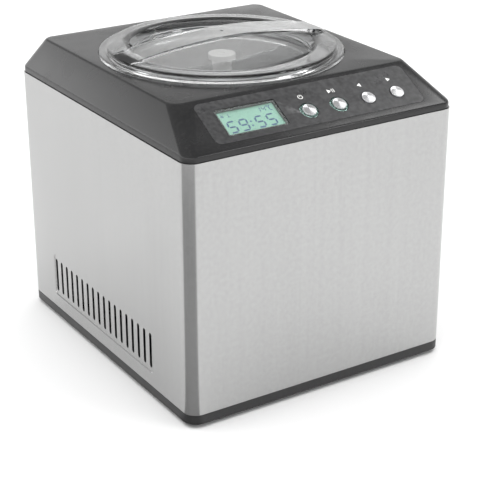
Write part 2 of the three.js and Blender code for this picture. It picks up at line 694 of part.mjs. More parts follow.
// ---------------------------------------------------------------- bowl, lid and paddle
function bowl() {
  const cornerZ = bowlFloor + BOWL_CORNER;
  const cornerR = BOWL_RADIUS - BOWL_CORNER;
  const profile = [
    [SHAFT_RADIUS + 1.5, tubeTop], [SHAFT_RADIUS + 1.5, tubeTop - BOWL_WALL],
    [tubeRadius - BOWL_WALL, tubeTop - BOWL_WALL], [tubeRadius - BOWL_WALL, bowlBottom],
    ...arc(cornerR, cornerZ, BOWL_CORNER + BOWL_WALL, -90, 0),
    [bowlOuter, bowlRim - BOWL_WALL], [rimRadius, bowlRim - BOWL_WALL], [rimRadius, bowlRim],
    [BOWL_RADIUS, bowlRim], ...arc(cornerR, cornerZ, BOWL_CORNER, 0, -90),
    [tubeRadius, bowlFloor], [tubeRadius, tubeTop],
  ];
  return piece('bowl', revolve(profile), finishes.aluminium());
}

function lid() {
  const rimInner = lidRadius - LID_RIM_WIDTH;
  const flangeOuter = lidRadius - LID_FLANGE_INSET;
  const flangeInner = flangeOuter - LID_FLANGE_WIDTH;
  const stepRadius = flangeInner - 3;
  const floorRadius = stepRadius - 2;
  const skirtOuter = BOWL_RADIUS - 2.5;
  const floorTop = coverTop - LID_FLOOR_DROP;
  const under = floorTop - LID_WALL;
  const profile = [
    [0, floorTop], [floorRadius, floorTop], [floorRadius + 0.6, coverTop], [stepRadius, coverTop],
    [flangeInner, coverTop + LID_FLANGE_HEIGHT], [flangeOuter, coverTop + LID_FLANGE_HEIGHT],
    [flangeOuter + 0.5, coverTop + LID_RIM_HEIGHT], [lidRadius - 0.8, coverTop + LID_RIM_HEIGHT],
    [lidRadius, coverTop + LID_RIM_HEIGHT - 0.8], [lidRadius, seatLevel + GAP],
    [rimInner - 1, seatLevel + GAP], [rimInner - 1, coverTop + LID_FLANGE_HEIGHT - LID_WALL],
    [flangeInner + 1.6, coverTop + LID_FLANGE_HEIGHT - LID_WALL], [stepRadius + 1.3, under],
    [skirtOuter, under], [skirtOuter, under - LID_SKIRT], [skirtOuter - LID_WALL, under - LID_SKIRT],
    [skirtOuter - LID_WALL, under], [0, under],
  ];
  return piece('lid', revolve(profile), finishes.clear());
}

// The arched band over the lid's well, its ends trimmed round with the flange.
function lidHandle() {
  const reach = lidRadius - LID_FLANGE_INSET;
  const base = coverTop + LID_FLANGE_HEIGHT + GAP;
  const crown = (x) => base + HANDLE_EDGE + HANDLE_RISE * (1 - (x / reach) ** 2);
  const steps = 10;
  const upper = Array.from({ length: 2 * steps + 1 }, (_, i) => reach * (i / steps - 1));
  const springing = reach * Math.sqrt(1 - (HANDLE_THICKNESS - HANDLE_EDGE) / HANDLE_RISE);
  const lower = Array.from({ length: 2 * steps - 3 }, (_, i) => springing * (1 - i / (steps - 2)));
  const outline = new THREE.Shape([
    new THREE.Vector2(reach, base),
    ...upper.map((x) => new THREE.Vector2(-x, crown(x))),
    new THREE.Vector2(-reach, base),
    ...lower.map((x) => new THREE.Vector2(-x, crown(x) - HANDLE_THICKNESS)),
  ]);
  const options = { depth: HANDLE_WIDTH, bevelEnabled: false, steps: 1 };
  const band = new THREE.ExtrudeGeometry(outline, options)
    .translate(0, 0, -HANDLE_WIDTH / 2).rotateX(Math.PI / 2);
  const trim = rod(reach, base - 5, base + HANDLE_RISE + 10, 0, 0, ROUND);
  return piece('lid_handle', solid(band).intersect(trim), finishes.clear());
}

function hexagon(radius, z0, z1) {
  return rod(radius, z0, z1, 0, 0, 6);
}

// Two open scraper frames on a hub that covers the bowl's centre tube.
function paddle() {
  const capTop = coverTop - LID_FLOOR_DROP - LID_WALL - PADDLE_LID_CLEARANCE;
  const hubBottom = bowlFloor + 1.5;
  const hubInner = tubeRadius + 1;
  const hubOuter = hubInner + 2;
  const hubTop = tubeTop + 1;
  const hub = revolve([
    [0, hubTop], [hubInner, hubTop], [hubInner, hubBottom], [hubOuter, hubBottom], [hubOuter, hubTop + 3],
    [PADDLE_STEM_RADIUS, hubTop + 12], [PADDLE_STEM_RADIUS, capTop - PADDLE_CAP_HEIGHT],
    [PADDLE_CAP_RADIUS, capTop - PADDLE_CAP_HEIGHT], [PADDLE_CAP_RADIUS, capTop - 1],
    [PADDLE_CAP_RADIUS - 1, capTop], [0, capTop],
  ], SMALL_ROUND);
  const reach = BOWL_RADIUS - PADDLE_REACH_CLEARANCE;
  const cornerCut = BOWL_CORNER;
  const top = hubBottom + PADDLE_BLADE_HEIGHT;
  const frame = new THREE.Shape([
    [hubInner + 1, hubBottom], [reach - cornerCut, hubBottom], [reach, hubBottom + cornerCut],
    [reach, top], [reach - 9, top], [PADDLE_STEM_RADIUS - 1, top - 18], [PADDLE_STEM_RADIUS - 1, hubTop + 13],
    [hubInner + 1, hubTop + 3],
  ].map((p) => new THREE.Vector2(...p)));
  const window = new THREE.Path([
    [hubOuter + 4, hubBottom + 12], [reach - 9, hubBottom + 12], [reach - 9, top - 12],
    [hubOuter + 4, top - 28],
  ].map((p) => new THREE.Vector2(...p)));
  frame.holes.push(window);
  const frames = [0, Math.PI].map((turn) => {
    const options = { depth: PADDLE_THICKNESS, bevelEnabled: false, steps: 1 };
    const blade = new THREE.ExtrudeGeometry(frame, options).translate(0, 0, -PADDLE_THICKNESS / 2);
    return solid(blade.rotateX(Math.PI / 2).rotateZ(turn));
  });
  const socket = hexagon(SHAFT_RADIUS + RUNNING_CLEARANCE, hubTop - 1, shaftTop + 1);
  const body = cut(joined([hub, ...frames]), [socket]);
  return piece('paddle', body, finishes.white());
}

// ---------------------------------------------------------------- cooling pot and its insulation
class Coil extends THREE.Curve {
  getPoint(t, target = new THREE.Vector3()) {
    const angle = COIL_START_ANGLE + 2 * Math.PI * COIL_TURNS * t;
    const [low, high] = [potFloor + COIL_LIFT, potFlangeTop - COIL_DROP];
    return target.set(coilRadius * Math.cos(angle), coilRadius * Math.sin(angle), low + (high - low) * t);
  }
}

function coolingPot() {
  const cornerZ = bowlFloor + BOWL_CORNER;
  const cornerR = BOWL_RADIUS - BOWL_CORNER;
  const inside = BOWL_CORNER + BOWL_WALL + POT_CLEARANCE;
  const hole = SHAFT_RADIUS + SHAFT_SURROUND;
  const profile = [
    [hole, potBottom], ...arc(cornerR, cornerZ, inside + POT_WALL, -90, 0),
    [potOuter, potFlangeTop - POT_WALL], [potFlangeRadius, potFlangeTop - POT_WALL],
    [potFlangeRadius, potFlangeTop], [potRadius, potFlangeTop],
    ...arc(cornerR, cornerZ, inside, 0, -90), [hole, potFloor],
  ];
  return piece('cooling_pot', revolve(profile), finishes.aluminium());
}

function evaporatorCoil() {
  const steps = Math.round(COIL_TURNS * 16);
  return piece('evaporator_coil', tubeAlong(new Coil(), COIL_TUBE_RADIUS, steps), finishes.copper());
}

function coilEnd(t, radius = coilRadius) {
  const angle = COIL_START_ANGLE + 2 * Math.PI * COIL_TURNS * t;
  return [radius * Math.cos(angle), radius * Math.sin(angle), new Coil().getPoint(t).z];
}

const suctionPlace = coilEnd(0);
const capillaryPlace = coilEnd(1, capillaryRing);

function foamInsulation() {
  const top = potFlangeTop - POT_WALL - GAP;
  const bottom = deckTop + GAP;
  const floor = potBottom - GAP;
  const hub = 34;
  const cup = revolve([
    [hub, bottom], [foamOuter, bottom], [foamOuter, top], [foamInner, top], [foamInner, floor], [hub, floor],
  ]);
  const passages = [
    rod(COIL_TUBE_RADIUS + 1, bottom - 1, floor + 1, suctionPlace[0], suctionPlace[1], 10),
    rod(CAPILLARY_RADIUS + 1, bottom - 1, floor + 1, capillaryPlace[0], capillaryPlace[1], 10),
  ];
  return piece('foam_insulation', cut(cup, passages), finishes.foam());
}

// ---------------------------------------------------------------- deck, shaft and gears
function deck() {
  const frontY = posts[0][1];
  const rearY = posts[2][1];
  const half = POST_SIZE / 2;
  const sideX = posts[1][0];
  const plate = boxAt([-sideX - half, frontY - half, deckBottom], [sideX + half, rearY + half, deckTop]);
  const legs = posts.map(([x, y]) =>
    boxAt([x - half, y - half, bossTop + GAP], [x + half, y + half, deckTop]));
  const holes = [
    rod(SHAFT_RADIUS + 3, deckBottom - 1, deckTop + 1, 0, AXIS_Y),
    rod(COIL_TUBE_RADIUS + 1, deckBottom - 1, deckTop + 1, suctionPlace[0], suctionPlace[1] + AXIS_Y, 10),
    rod(CAPILLARY_RADIUS + 1, deckBottom - 1, deckTop + 1, capillaryPlace[0], capillaryPlace[1] + AXIS_Y, 10),
  ];
  const screwReach = baseBottom + SCREW_LENGTH + 1;
  const footBores = posts.map(([x, y]) => rod(SCREW_RADIUS + GAP, bossTop, screwReach, x, y, 8));
  const rearBores = rearScrewPlaces()
    .map(([x, z]) => rodAlongY(SCREW_RADIUS + GAP, rearY - 4, rearY + half + 1, x, z, 8));
  const body = cut(joined([plate, ...legs]), [...holes, ...footBores, ...rearBores]);
  return piece('pot_deck', body, finishes.zinc());
}

function shaftBearing() {
  const bore = SHAFT_RADIUS + RUNNING_CLEARANCE;
  const top = potBottom - 3;
  const flange = { radius: 26, bottom: deckTop + GAP, top: deckTop + GAP + 3 };
  const neck = 14;
  const profile = [
    [bore, flange.bottom], [flange.radius, flange.bottom], [flange.radius, flange.top],
    [neck, flange.top], [neck, top], [bore, top],
  ];
  return piece('shaft_bearing', revolve(profile, SMALL_ROUND), finishes.nylon());
}

function shaftSeal() {
  const bore = SHAFT_RADIUS + RUNNING_CLEARANCE;
  const outer = SHAFT_RADIUS + SHAFT_SURROUND - GAP;
  const profile = [
    [bore, potBottom - 3 + GAP], [outer, potBottom - 3 + GAP], [outer, potFloor], [bore, potFloor],
  ];
  return piece('shaft_seal', revolve(profile, SMALL_ROUND), finishes.rubber());
}

function driveShaft() {
  const bottom = gearboxBottom + GEARBOX_WALL + 1;
  const body = joined([
    rod(SHAFT_RADIUS, bottom, tubeTop, 0, 0, 24),
    hexagon(SHAFT_RADIUS, tubeTop - 2, shaftTop),
  ]);
  return piece('drive_shaft', body, finishes.zinc());
}

// A straight-sided gear outline with backlash, a tooth centred on the stated angle.
function gearShape(teeth, firstTooth) {
  const pitch = (GEAR_MODULE * teeth) / 2;
  const [tip, root] = [pitch + 0.85 * GEAR_MODULE, pitch - 1.2 * GEAR_MODULE];
  const step = (2 * Math.PI) / teeth;
  const corners = [[root, -0.3], [tip, -0.12], [tip, 0.12], [root, 0.3]];
  const points = Array.from({ length: teeth }, (_, i) => corners.map(([r, share]) => {
    const angle = firstTooth + (i + share) * step;
    return new THREE.Vector2(r * Math.cos(angle), r * Math.sin(angle));
  })).flat();
  return new THREE.Shape(points);
}

function driveGear() {
  const body = prism(gearShape(GEAR_TEETH, 0), gearLevel, gearLevel + GEAR_THICKNESS);
  const bore = rod(SHAFT_RADIUS + RUNNING_CLEARANCE, gearLevel - 1, gearLevel + GEAR_THICKNESS + 1);
  return piece('drive_gear', cut(body, [bore]), finishes.nylon());
}

function motorPinion() {
  const halfTooth = Math.PI / PINION_TEETH;
  const body = joined([
    prism(gearShape(PINION_TEETH, Math.PI + halfTooth), gearLevel - 1, gearLevel + GEAR_THICKNESS + 1),
    rod(PINION_SHAFT_RADIUS, gearboxBottom - 8, gearLevel + GEAR_THICKNESS + 1, 0, 0, 12),
  ]);
  const pinion = piece('motor_pinion', body, finishes.zinc());
  pinion.position.x = gearDistance;
  return pinion;
}

function gearboxOutline(grow) {
  const left = -gearPitchRadius - 5 - grow;
  const right = gearDistance + pinionPitchRadius + 5 + grow;
  const depth = 2 * (gearPitchRadius + 5 + grow);
  return roundedRectangle(right - left, depth, 6 + grow, (left + right) / 2, 0);
}

function gearboxPieces() {
  const split = gearboxTop - GEARBOX_WALL - GAP;
  const shell = cut(prism(gearboxOutline(GEARBOX_WALL), gearboxBottom, split), [
    prism(gearboxOutline(0), gearboxBottom + GEARBOX_WALL, split + 1),
    rod(PINION_SHAFT_RADIUS + RUNNING_CLEARANCE, gearboxBottom - 1, split, gearDistance, 0, 12),
  ]);
  const plate = cut(prism(gearboxOutline(GEARBOX_WALL), gearboxTop - GEARBOX_WALL, gearboxTop), [
    rod(SHAFT_RADIUS + RUNNING_CLEARANCE + 0.5, gearboxTop - 10, gearboxTop + 1),
  ]);
  return [
    piece('gearbox_housing', shell, finishes.blackPlastic()),
    piece('gearbox_cover', plate, finishes.blackPlastic()),
  ];
}

function driveMotor() {
  const top = gearboxBottom - GAP;
  const bottom = top - MOTOR_LENGTH;
  const profile = [
    [0, bottom - 4], [10, bottom - 4], [10, bottom], [MOTOR_RADIUS - 2, bottom], [MOTOR_RADIUS, bottom + 2],
    [MOTOR_RADIUS, top - 3], [MOTOR_RADIUS - 3, top - 3], [MOTOR_RADIUS - 3, top], [0, top],
  ];
  const bore = rod(PINION_SHAFT_RADIUS + RUNNING_CLEARANCE, gearboxBottom - 9, top + 1, 0, 0, 12);
  const motor = piece('drive_motor', cut(revolve(profile, 20), [bore]), finishes.zinc());
  motor.position.x = gearDistance;
  return motor;
}

// ---------------------------------------------------------------- cooling circuit in the bay
function compressor() {
  const plateHalf = COMPRESSOR_RADIUS + 2;
  const plate = boxAt([-plateHalf, -plateHalf, 0], [plateHalf, plateHalf, 2]);
  const shoulder = COMPRESSOR_RADIUS - 12;
  const shell = revolve([
    [0, 1], [shoulder, 1], ...arc(shoulder, 13, 12, -90, 0, 2), [COMPRESSOR_RADIUS, 45],
    [COMPRESSOR_RADIUS + 1.5, 45], [COMPRESSOR_RADIUS + 1.5, 49], [COMPRESSOR_RADIUS, 49],
    ...arc(shoulder - 8, COMPRESSOR_HEIGHT - 20, 20, 0, 90, 3), [0, COMPRESSOR_HEIGHT],
  ], 22);
  const body = piece('compressor', joined([plate, shell]), finishes.enamel());
  body.position.set(compressorX, compressorY, compressorBottom);
  return body;
}

function compressorGrommets() {
  const offset = COMPRESSOR_RADIUS - 6;
  return [[-1, -1], [1, -1], [-1, 1], [1, 1]].map(([i, j], index) => {
    const height = COMPRESSOR_LIFT - 2 * GAP;
    const profile = [[0, 0], [6, 0], [4.5, height / 2], [6, height], [0, height]];
    const grommet = piece(`compressor_grommet_${index + 1}`, revolve(profile, 10), finishes.rubber());
    grommet.position.set(compressorX + i * offset, compressorY + j * offset, bayFloor + GAP);
    return grommet;
  });
}

function condenser() {
  const [halfX, halfY] = [CONDENSER_THICKNESS / 2, CONDENSER_LENGTH / 2];
  const step = (CONDENSER_LENGTH - 1.2) / (CONDENSER_FINS - 1);
  const fins = Array.from({ length: CONDENSER_FINS }, (_, i) => {
    const y = -halfY + i * step;
    return boxAt([-halfX, y, 0], [halfX, y + 1.2, CONDENSER_HEIGHT]);
  });
  const tubes = [0.2, 0.8].map((share) =>
    rodAlongY(4, -halfY + 0.2, halfY - 0.2, 0, share * CONDENSER_HEIGHT, 8));
  const body = piece('condenser', joined([...fins, ...tubes]), finishes.aluminium());
  body.position.set(condenserX, 0, condenserBottom);
  return body;
}

function fan() {
  const group = new THREE.Group();
  group.position.set(fanX, 0, fanZ);
  const half = FAN_SIZE / 2;
  const [x0, x1] = [-FAN_THICKNESS / 2, FAN_THICKNESS / 2];
  const sweep = half - 4;
  const frame = cut(
    boxAt([x0, -half, -half], [x1, half, half]), [rodAlongX(sweep, x0 - 1, x1 + 1, 0, 0, 28)]);
  const struts = [0, 1, 2].map((i) => {
    const strut = new THREE.BoxGeometry(3, 5, sweep + 2).translate(x1 - 1.5, 0, (sweep + 2) / 2);
    return solid(strut.rotateX((i * 2 * Math.PI) / 3));
  });
  const mount = rodAlongX(FAN_HUB_RADIUS, x1 - 4, x1, 0, 0, 16);
  group.add(piece('fan_frame', joined([frame, ...struts, mount]), finishes.blackPlastic()));

  const hub = rodAlongX(FAN_HUB_RADIUS, x0 + 1, x1 - 5, 0, 0, 16);
  const bladeReach = sweep - 2 - FAN_HUB_RADIUS + 2;
  const blades = Array.from({ length: FAN_BLADES }, (_, i) => {
    const blade = new THREE.BoxGeometry(1.6, 15, bladeReach);
    blade.rotateZ(THREE.MathUtils.degToRad(50));
    blade.translate((x0 + x1 - 4) / 2, 0, FAN_HUB_RADIUS - 2 + bladeReach / 2);
    return solid(blade.rotateX((i * 2 * Math.PI) / FAN_BLADES));
  });
  group.add(piece('fan_impeller', joined([hub, ...blades]), finishes.enamel()));
  return group;
}

const drierY = CONDENSER_LENGTH / 2 + 34;
const drierZ = condenserBottom + 0.2 * CONDENSER_HEIGHT;

function filterDrier() {
  const half = 25;
  const stub = drierY - CONDENSER_LENGTH / 2 - half - GAP;
  const body = joined([
    rodAlongY(DRIER_RADIUS, -half, half, 0, 0, 14),
    rodAlongY(3, -half - stub, -half + 2, 0, 0, 8),
    rodAlongY(2.5, half - 2, half + 5, 0, 0, 8),
  ]);
  const drier = piece('filter_drier', body, finishes.copper());
  drier.position.set(condenserX, drierY, drierZ);
  return drier;
}

function refrigerantPipes() {
  const compressorTop = compressorBottom + COMPRESSOR_HEIGHT;
  const [sx, sy, sz] = [suctionPlace[0], suctionPlace[1] + AXIS_Y, suctionPlace[2]];
  const [cx, cy] = [compressorX, compressorY];
  const suction = pipe([
    [sx, sy, sz - COIL_TUBE_RADIUS - 2], [sx, sy, deckTop], [sx, sy, deckBottom - 3],
    [cx + 14, cy, compressorTop + 5], [cx + 14, cy, compressorTop + GAP],
  ], COIL_TUBE_RADIUS - 0.6, 16);
  const edge = COMPRESSOR_RADIUS + 3.2;
  const tubeZ = condenserBottom + 0.8 * CONDENSER_HEIGHT;
  const endY = CONDENSER_LENGTH / 2 + GAP;
  const discharge = pipe([
    [cx + edge, cy, compressorBottom + 60], [cx + edge + 16, cy + 14, compressorBottom + 60],
    [(cx + condenserX) / 2 + 20, cy + 22, tubeZ + 2], [condenserX - 12, endY + 26, tubeZ],
    [condenserX, endY + 12, tubeZ], [condenserX, endY, tubeZ],
  ], 2.6, 16);
  const [kx, ky] = [capillaryPlace[0], capillaryPlace[1] + AXIS_Y];
  const start = drierY + 31;
  const capillary = pipe([
    [condenserX, start, drierZ], [condenserX, start + 5, drierZ + 8], [condenserX, start + 5, tubeZ],
    [condenserX - 8, start, deckBottom - 16], [kx + 6, ky + 6, deckBottom - 14], [kx, ky, deckBottom - 6],
    [kx, ky, deckTop], [kx, ky, potFloor + 30], [kx, ky, capillaryPlace[2]],
  ], CAPILLARY_RADIUS, 26);
  return [
    piece('suction_pipe', suction, finishes.copper()),
    piece('discharge_pipe', discharge, finishes.copper()),
    piece('capillary_tube', capillary, finishes.copper()),
  ];
}

// The upright board behind the front wall, with its transformer, relay and capacitors.
function powerBoard() {
  const [halfX, z0, z1] = [65, bayFloor + GAP, bayFloor + 86];
  const y = -DEPTH / 2 + 22;
  const body = joined([
    boxAt([-halfX, y, z0], [halfX, y + BOARD_THICKNESS, z1]),
    boxAt([-50, y + 1, z0 + 36], [-16, y + 28, z0 + 64]),
    boxAt([-4, y + 1, z0 + 40], [16, y + 18, z0 + 56]),
    boxAt([30, y + 1, z0 + 12], [56, y + 14, z0 + 30]),
    rodAlongY(8, y + 1, y + 26, 36, z0 + 60, 14),
    rodAlongY(6, y + 1, y + 20, 4, z0 + 20, 14),
  ]);
  return piece('power_board', body, finishes.board());
}

// ---------------------------------------------------------------- the whole machine
const onAxis = new THREE.Group();
onAxis.position.y = AXIS_Y;
onAxis.add(
  bowl(), lid(), lidHandle(), paddle(), coolingPot(), evaporatorCoil(), foamInsulation(),
  shaftBearing(), shaftSeal(), driveShaft(), driveGear(), motorPinion(), ...gearboxPieces(), driveMotor());

const iceCreamMaker = new THREE.Group();
iceCreamMaker.add(
  baseTray(), ...feet(), ...baseScrews(), steelHousing(), rearPanel(), mainsInlet(), ...rearScrews(),
  topCover(), controlPanel(), onAxis, deck(), compressor(), ...compressorGrommets(), condenser(), fan(),
  filterDrier(), ...refrigerantPipes(), powerBoard());

export default iceCreamMaker;
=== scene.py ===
"""Finished surfaces for a compressor ice cream maker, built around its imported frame.

Shapes are worked out in millimetres and turned into metres when a piece is finished.
The frame has +Z up, the front towards -Y and its origin on the table under the housing.
"""
import logging
import math
from dataclasses import dataclass, field
from enum import Enum

import bmesh
import bpy
from bmesh.types import BMesh
from mathutils import Matrix, Vector


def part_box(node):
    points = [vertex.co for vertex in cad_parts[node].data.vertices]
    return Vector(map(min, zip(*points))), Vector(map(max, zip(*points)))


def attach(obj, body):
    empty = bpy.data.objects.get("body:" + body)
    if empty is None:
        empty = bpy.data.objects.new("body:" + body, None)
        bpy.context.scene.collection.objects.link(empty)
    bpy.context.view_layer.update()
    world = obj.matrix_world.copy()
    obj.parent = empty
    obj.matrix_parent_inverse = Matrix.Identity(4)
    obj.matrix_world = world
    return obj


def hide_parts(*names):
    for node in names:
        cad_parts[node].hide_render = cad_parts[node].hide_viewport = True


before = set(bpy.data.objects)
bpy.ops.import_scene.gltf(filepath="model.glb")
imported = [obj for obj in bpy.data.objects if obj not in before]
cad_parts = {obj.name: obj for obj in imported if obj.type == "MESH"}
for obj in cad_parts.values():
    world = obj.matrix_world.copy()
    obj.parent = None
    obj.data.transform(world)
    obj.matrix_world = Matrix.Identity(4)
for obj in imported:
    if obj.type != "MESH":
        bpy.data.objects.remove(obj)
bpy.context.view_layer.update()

LOG = logging.getLogger("ice_cream_maker")
MM = 0.001
TURN = 2 * math.pi
SHARP_ANGLE = math.radians(32)
WELD = 0.0005  # vertices closer than this, in millimetres, are one
MACHINE = "machine"

Profile = list[tuple[float, float]]
Color = tuple[float, float, float]


class Combine(Enum):
    """How one closed body acts on another."""

    JOIN = "UNION"
    CUT = "DIFFERENCE"
    KEEP_SHARED = "INTERSECT"


class Axis(Enum):
    """Directions that a screw's head may point in."""

    DOWN = (0.0, 0.0, -1.0)
    BACK = (0.0, 1.0, 0.0)


class Icon(Enum):
    """Signs printed over the four push buttons."""

    POWER = "power"
    START_PAUSE = "start_pause"
    TIME_DOWN = "time_down"
    TIME_UP = "time_up"


# ------------------------------------------------------------------ shader graphs and effect groups
class Graph:
    """Adds and links the nodes of one material or one effect group."""

    def __init__(self, tree: bpy.types.NodeTree) -> None:
        """Starts on a node tree, which keeps the nodes it has."""
        self.tree = tree

    def add(self, kind: str, settings: dict | None = None, inputs: dict | None = None) -> bpy.types.Node:
        """Adds one shader node.

        Args:
            kind: The node's type without its ShaderNode prefix.
            settings: Properties of the node.
            inputs: Values or output sockets for its inputs, by name or number.

        Returns:
            The new node.
        """
        node = self.tree.nodes.new("ShaderNode" + kind)
        for key, value in (settings or {}).items():
            setattr(node, key, value)
        for key, value in (inputs or {}).items():
            self.feed(node.inputs[key], value)
        return node

    def feed(self, socket: bpy.types.NodeSocket, value: object) -> None:
        """Links an output socket to an input, or sets the input's value."""
        if isinstance(value, bpy.types.NodeSocket):
            self.tree.links.new(value, socket)
        else:
            socket.default_value = value

    def blend(self, share: object, first: object, second: object) -> bpy.types.NodeSocket:
        """Mixes two colours and returns the result's socket."""
        node = self.add("Mix", {"data_type": "RGBA"}, {0: share, 6: first, 7: second})
        return node.outputs[2]

    def remap(self, value: object, low: object, high: object, to_low: object,
              to_high: object) -> bpy.types.NodeSocket:
        """Maps a range of values to another and returns the result's socket."""
        names = ("Value", "From Min", "From Max", "To Min", "To Max")
        return self.add("MapRange", None, dict(zip(names, (value, low, high, to_low, to_high)))).outputs[0]

    def math(self, operation: str, first: object, second: object = 0.0) -> bpy.types.NodeSocket:
        """Does one sum on two values and returns the result's socket."""
        return self.add("Math", {"operation": operation}, {0: first, 1: second}).outputs[0]


class EffectGroups:
    """The effects that several finishes share, each one node group built once."""

    def __init__(self) -> None:
        """Builds every group."""
        self.mottle = self._mottle()
        self.grain = self._grain()
        self.brushing = self._brushing()
        self.edge_wear_and_highlight = self._edge_wear_and_highlight()
        self.dust = self._dust()

    def _new(self, name: str, inputs: dict[str, tuple[str, object]], outputs: list[str]) -> tuple:
        """Makes an empty group.

        Args:
            name: The group's name.
            inputs: Socket type and default value for each input.
            outputs: Names of the outputs, which all carry one value.

        Returns:
            The group's graph, its input node and its output node.
        """
        tree = bpy.data.node_groups.new(name, "ShaderNodeTree")
        for label, (kind, default) in inputs.items():
            socket = tree.interface.new_socket(label, in_out="INPUT", socket_type="NodeSocket" + kind)
            if default is not None:
                socket.default_value = default
        for label in outputs:
            tree.interface.new_socket(label, in_out="OUTPUT", socket_type="NodeSocketFloat")
        source = tree.nodes.new("NodeGroupInput")
        result = tree.nodes.new("NodeGroupOutput")
        return Graph(tree), source, result

    def _mottle(self) -> bpy.types.NodeTree:
        """Slow patches over a surface: a share from 0 to 1."""
        graph, given, result = self._new(
            "slow_mottle", {"Vector": ("Vector", None), "Patch Size": ("Float", 0.03)}, ["Share"])
        scale = graph.math("DIVIDE", 1.0, given.outputs["Patch Size"])
        noise = graph.add("TexNoise", None, {
            "Vector": given.outputs["Vector"], "Scale": scale, "Detail": 2.0, "Roughness": 0.5})
        graph.feed(result.inputs["Share"], graph.remap(noise.outputs[0], 0.3, 0.7, 0.0, 1.0))
        return graph.tree

    def _grain(self) -> bpy.types.NodeTree:
        """Fine moulded grain: a height from 0 to 1."""
        graph, given, result = self._new(
            "moulded_grain", {"Vector": ("Vector", None), "Grain Size": ("Float", 0.0006)}, ["Height"])
        scale = graph.math("DIVIDE", 1.0, given.outputs["Grain Size"])
        noise = graph.add("TexNoise", None, {
            "Vector": given.outputs["Vector"], "Scale": scale, "Detail": 3.0, "Roughness": 0.6})
        graph.feed(result.inputs["Height"], noise.outputs[0])
        return graph.tree

    def _brushing(self) -> bpy.types.NodeTree:
        """Long fine scratches: the vector arrives squeezed across them."""
        graph, given, result = self._new(
            "brushed_lines", {"Vector": ("Vector", None), "Stretch": ("Vector", (1.0, 1.0, 1.0))},
            ["Height", "Streak"])
        squeezed = graph.add("VectorMath", {"operation": "MULTIPLY"}, {
            0: given.outputs["Vector"], 1: given.outputs["Stretch"]}).outputs[0]
        fine = graph.add("TexNoise", None, {"Vector": squeezed, "Scale": 1.0, "Detail": 2.0})
        broad = graph.add("TexNoise", None, {"Vector": squeezed, "Scale": 0.21, "Detail": 2.0})
        graph.feed(result.inputs["Height"], fine.outputs[0])
        mixed = graph.math("ADD", fine.outputs[0], broad.outputs[0])
        graph.feed(result.inputs["Streak"], graph.remap(mixed, 0.7, 1.3, 0.0, 1.0))
        return graph.tree

    def _edge_wear_and_highlight(self) -> bpy.types.NodeTree:
        """Lighter outer edges, rubbed wear and on the panel film a painted highlight: a mask from 0 to 1,
        broken up by noise.
        """
        graph, given, result = self._new(
            "edge_wear_and_highlight", {"Vector": ("Vector", None), "Amount": ("Float", 0.2)}, ["Mask"])
        pointed = graph.add("NewGeometry").outputs["Pointiness"]
        edge = graph.remap(pointed, 0.52, 0.6, 0.0, 1.0)
        noise = graph.add("TexNoise", None,
                          {"Vector": given.outputs["Vector"], "Scale": 260.0, "Detail": 3.0})
        broken = graph.math("MULTIPLY", edge, graph.remap(noise.outputs[0], 0.35, 0.65, 0.2, 1.0))
        graph.feed(result.inputs["Mask"], graph.math("MULTIPLY", broken, given.outputs["Amount"]))
        return graph.tree

    def _dust(self) -> bpy.types.NodeTree:
        """Light dust on faces that look up: a mask from 0 to 1."""
        graph, given, result = self._new(
            "settled_dust", {"Vector": ("Vector", None), "Amount": ("Float", 0.05)}, ["Mask"])
        normal = graph.add("NewGeometry").outputs["Normal"]
        upward = graph.add("SeparateXYZ", None, {0: normal}).outputs[2]
        noise = graph.add("TexNoise", None,
                          {"Vector": given.outputs["Vector"], "Scale": 420.0, "Detail": 4.0})
        specks = graph.remap(noise.outputs[0], 0.45, 0.75, 0.0, 1.0)
        lying = graph.math("MULTIPLY", graph.remap(upward, 0.3, 1.0, 0.0, 1.0), specks)
        graph.feed(result.inputs["Mask"], graph.math("MULTIPLY", lying, given.outputs["Amount"]))
        return graph.tree


EFFECTS = EffectGroups()
DUST_COLOR = (0.42, 0.41, 0.39, 1.0)


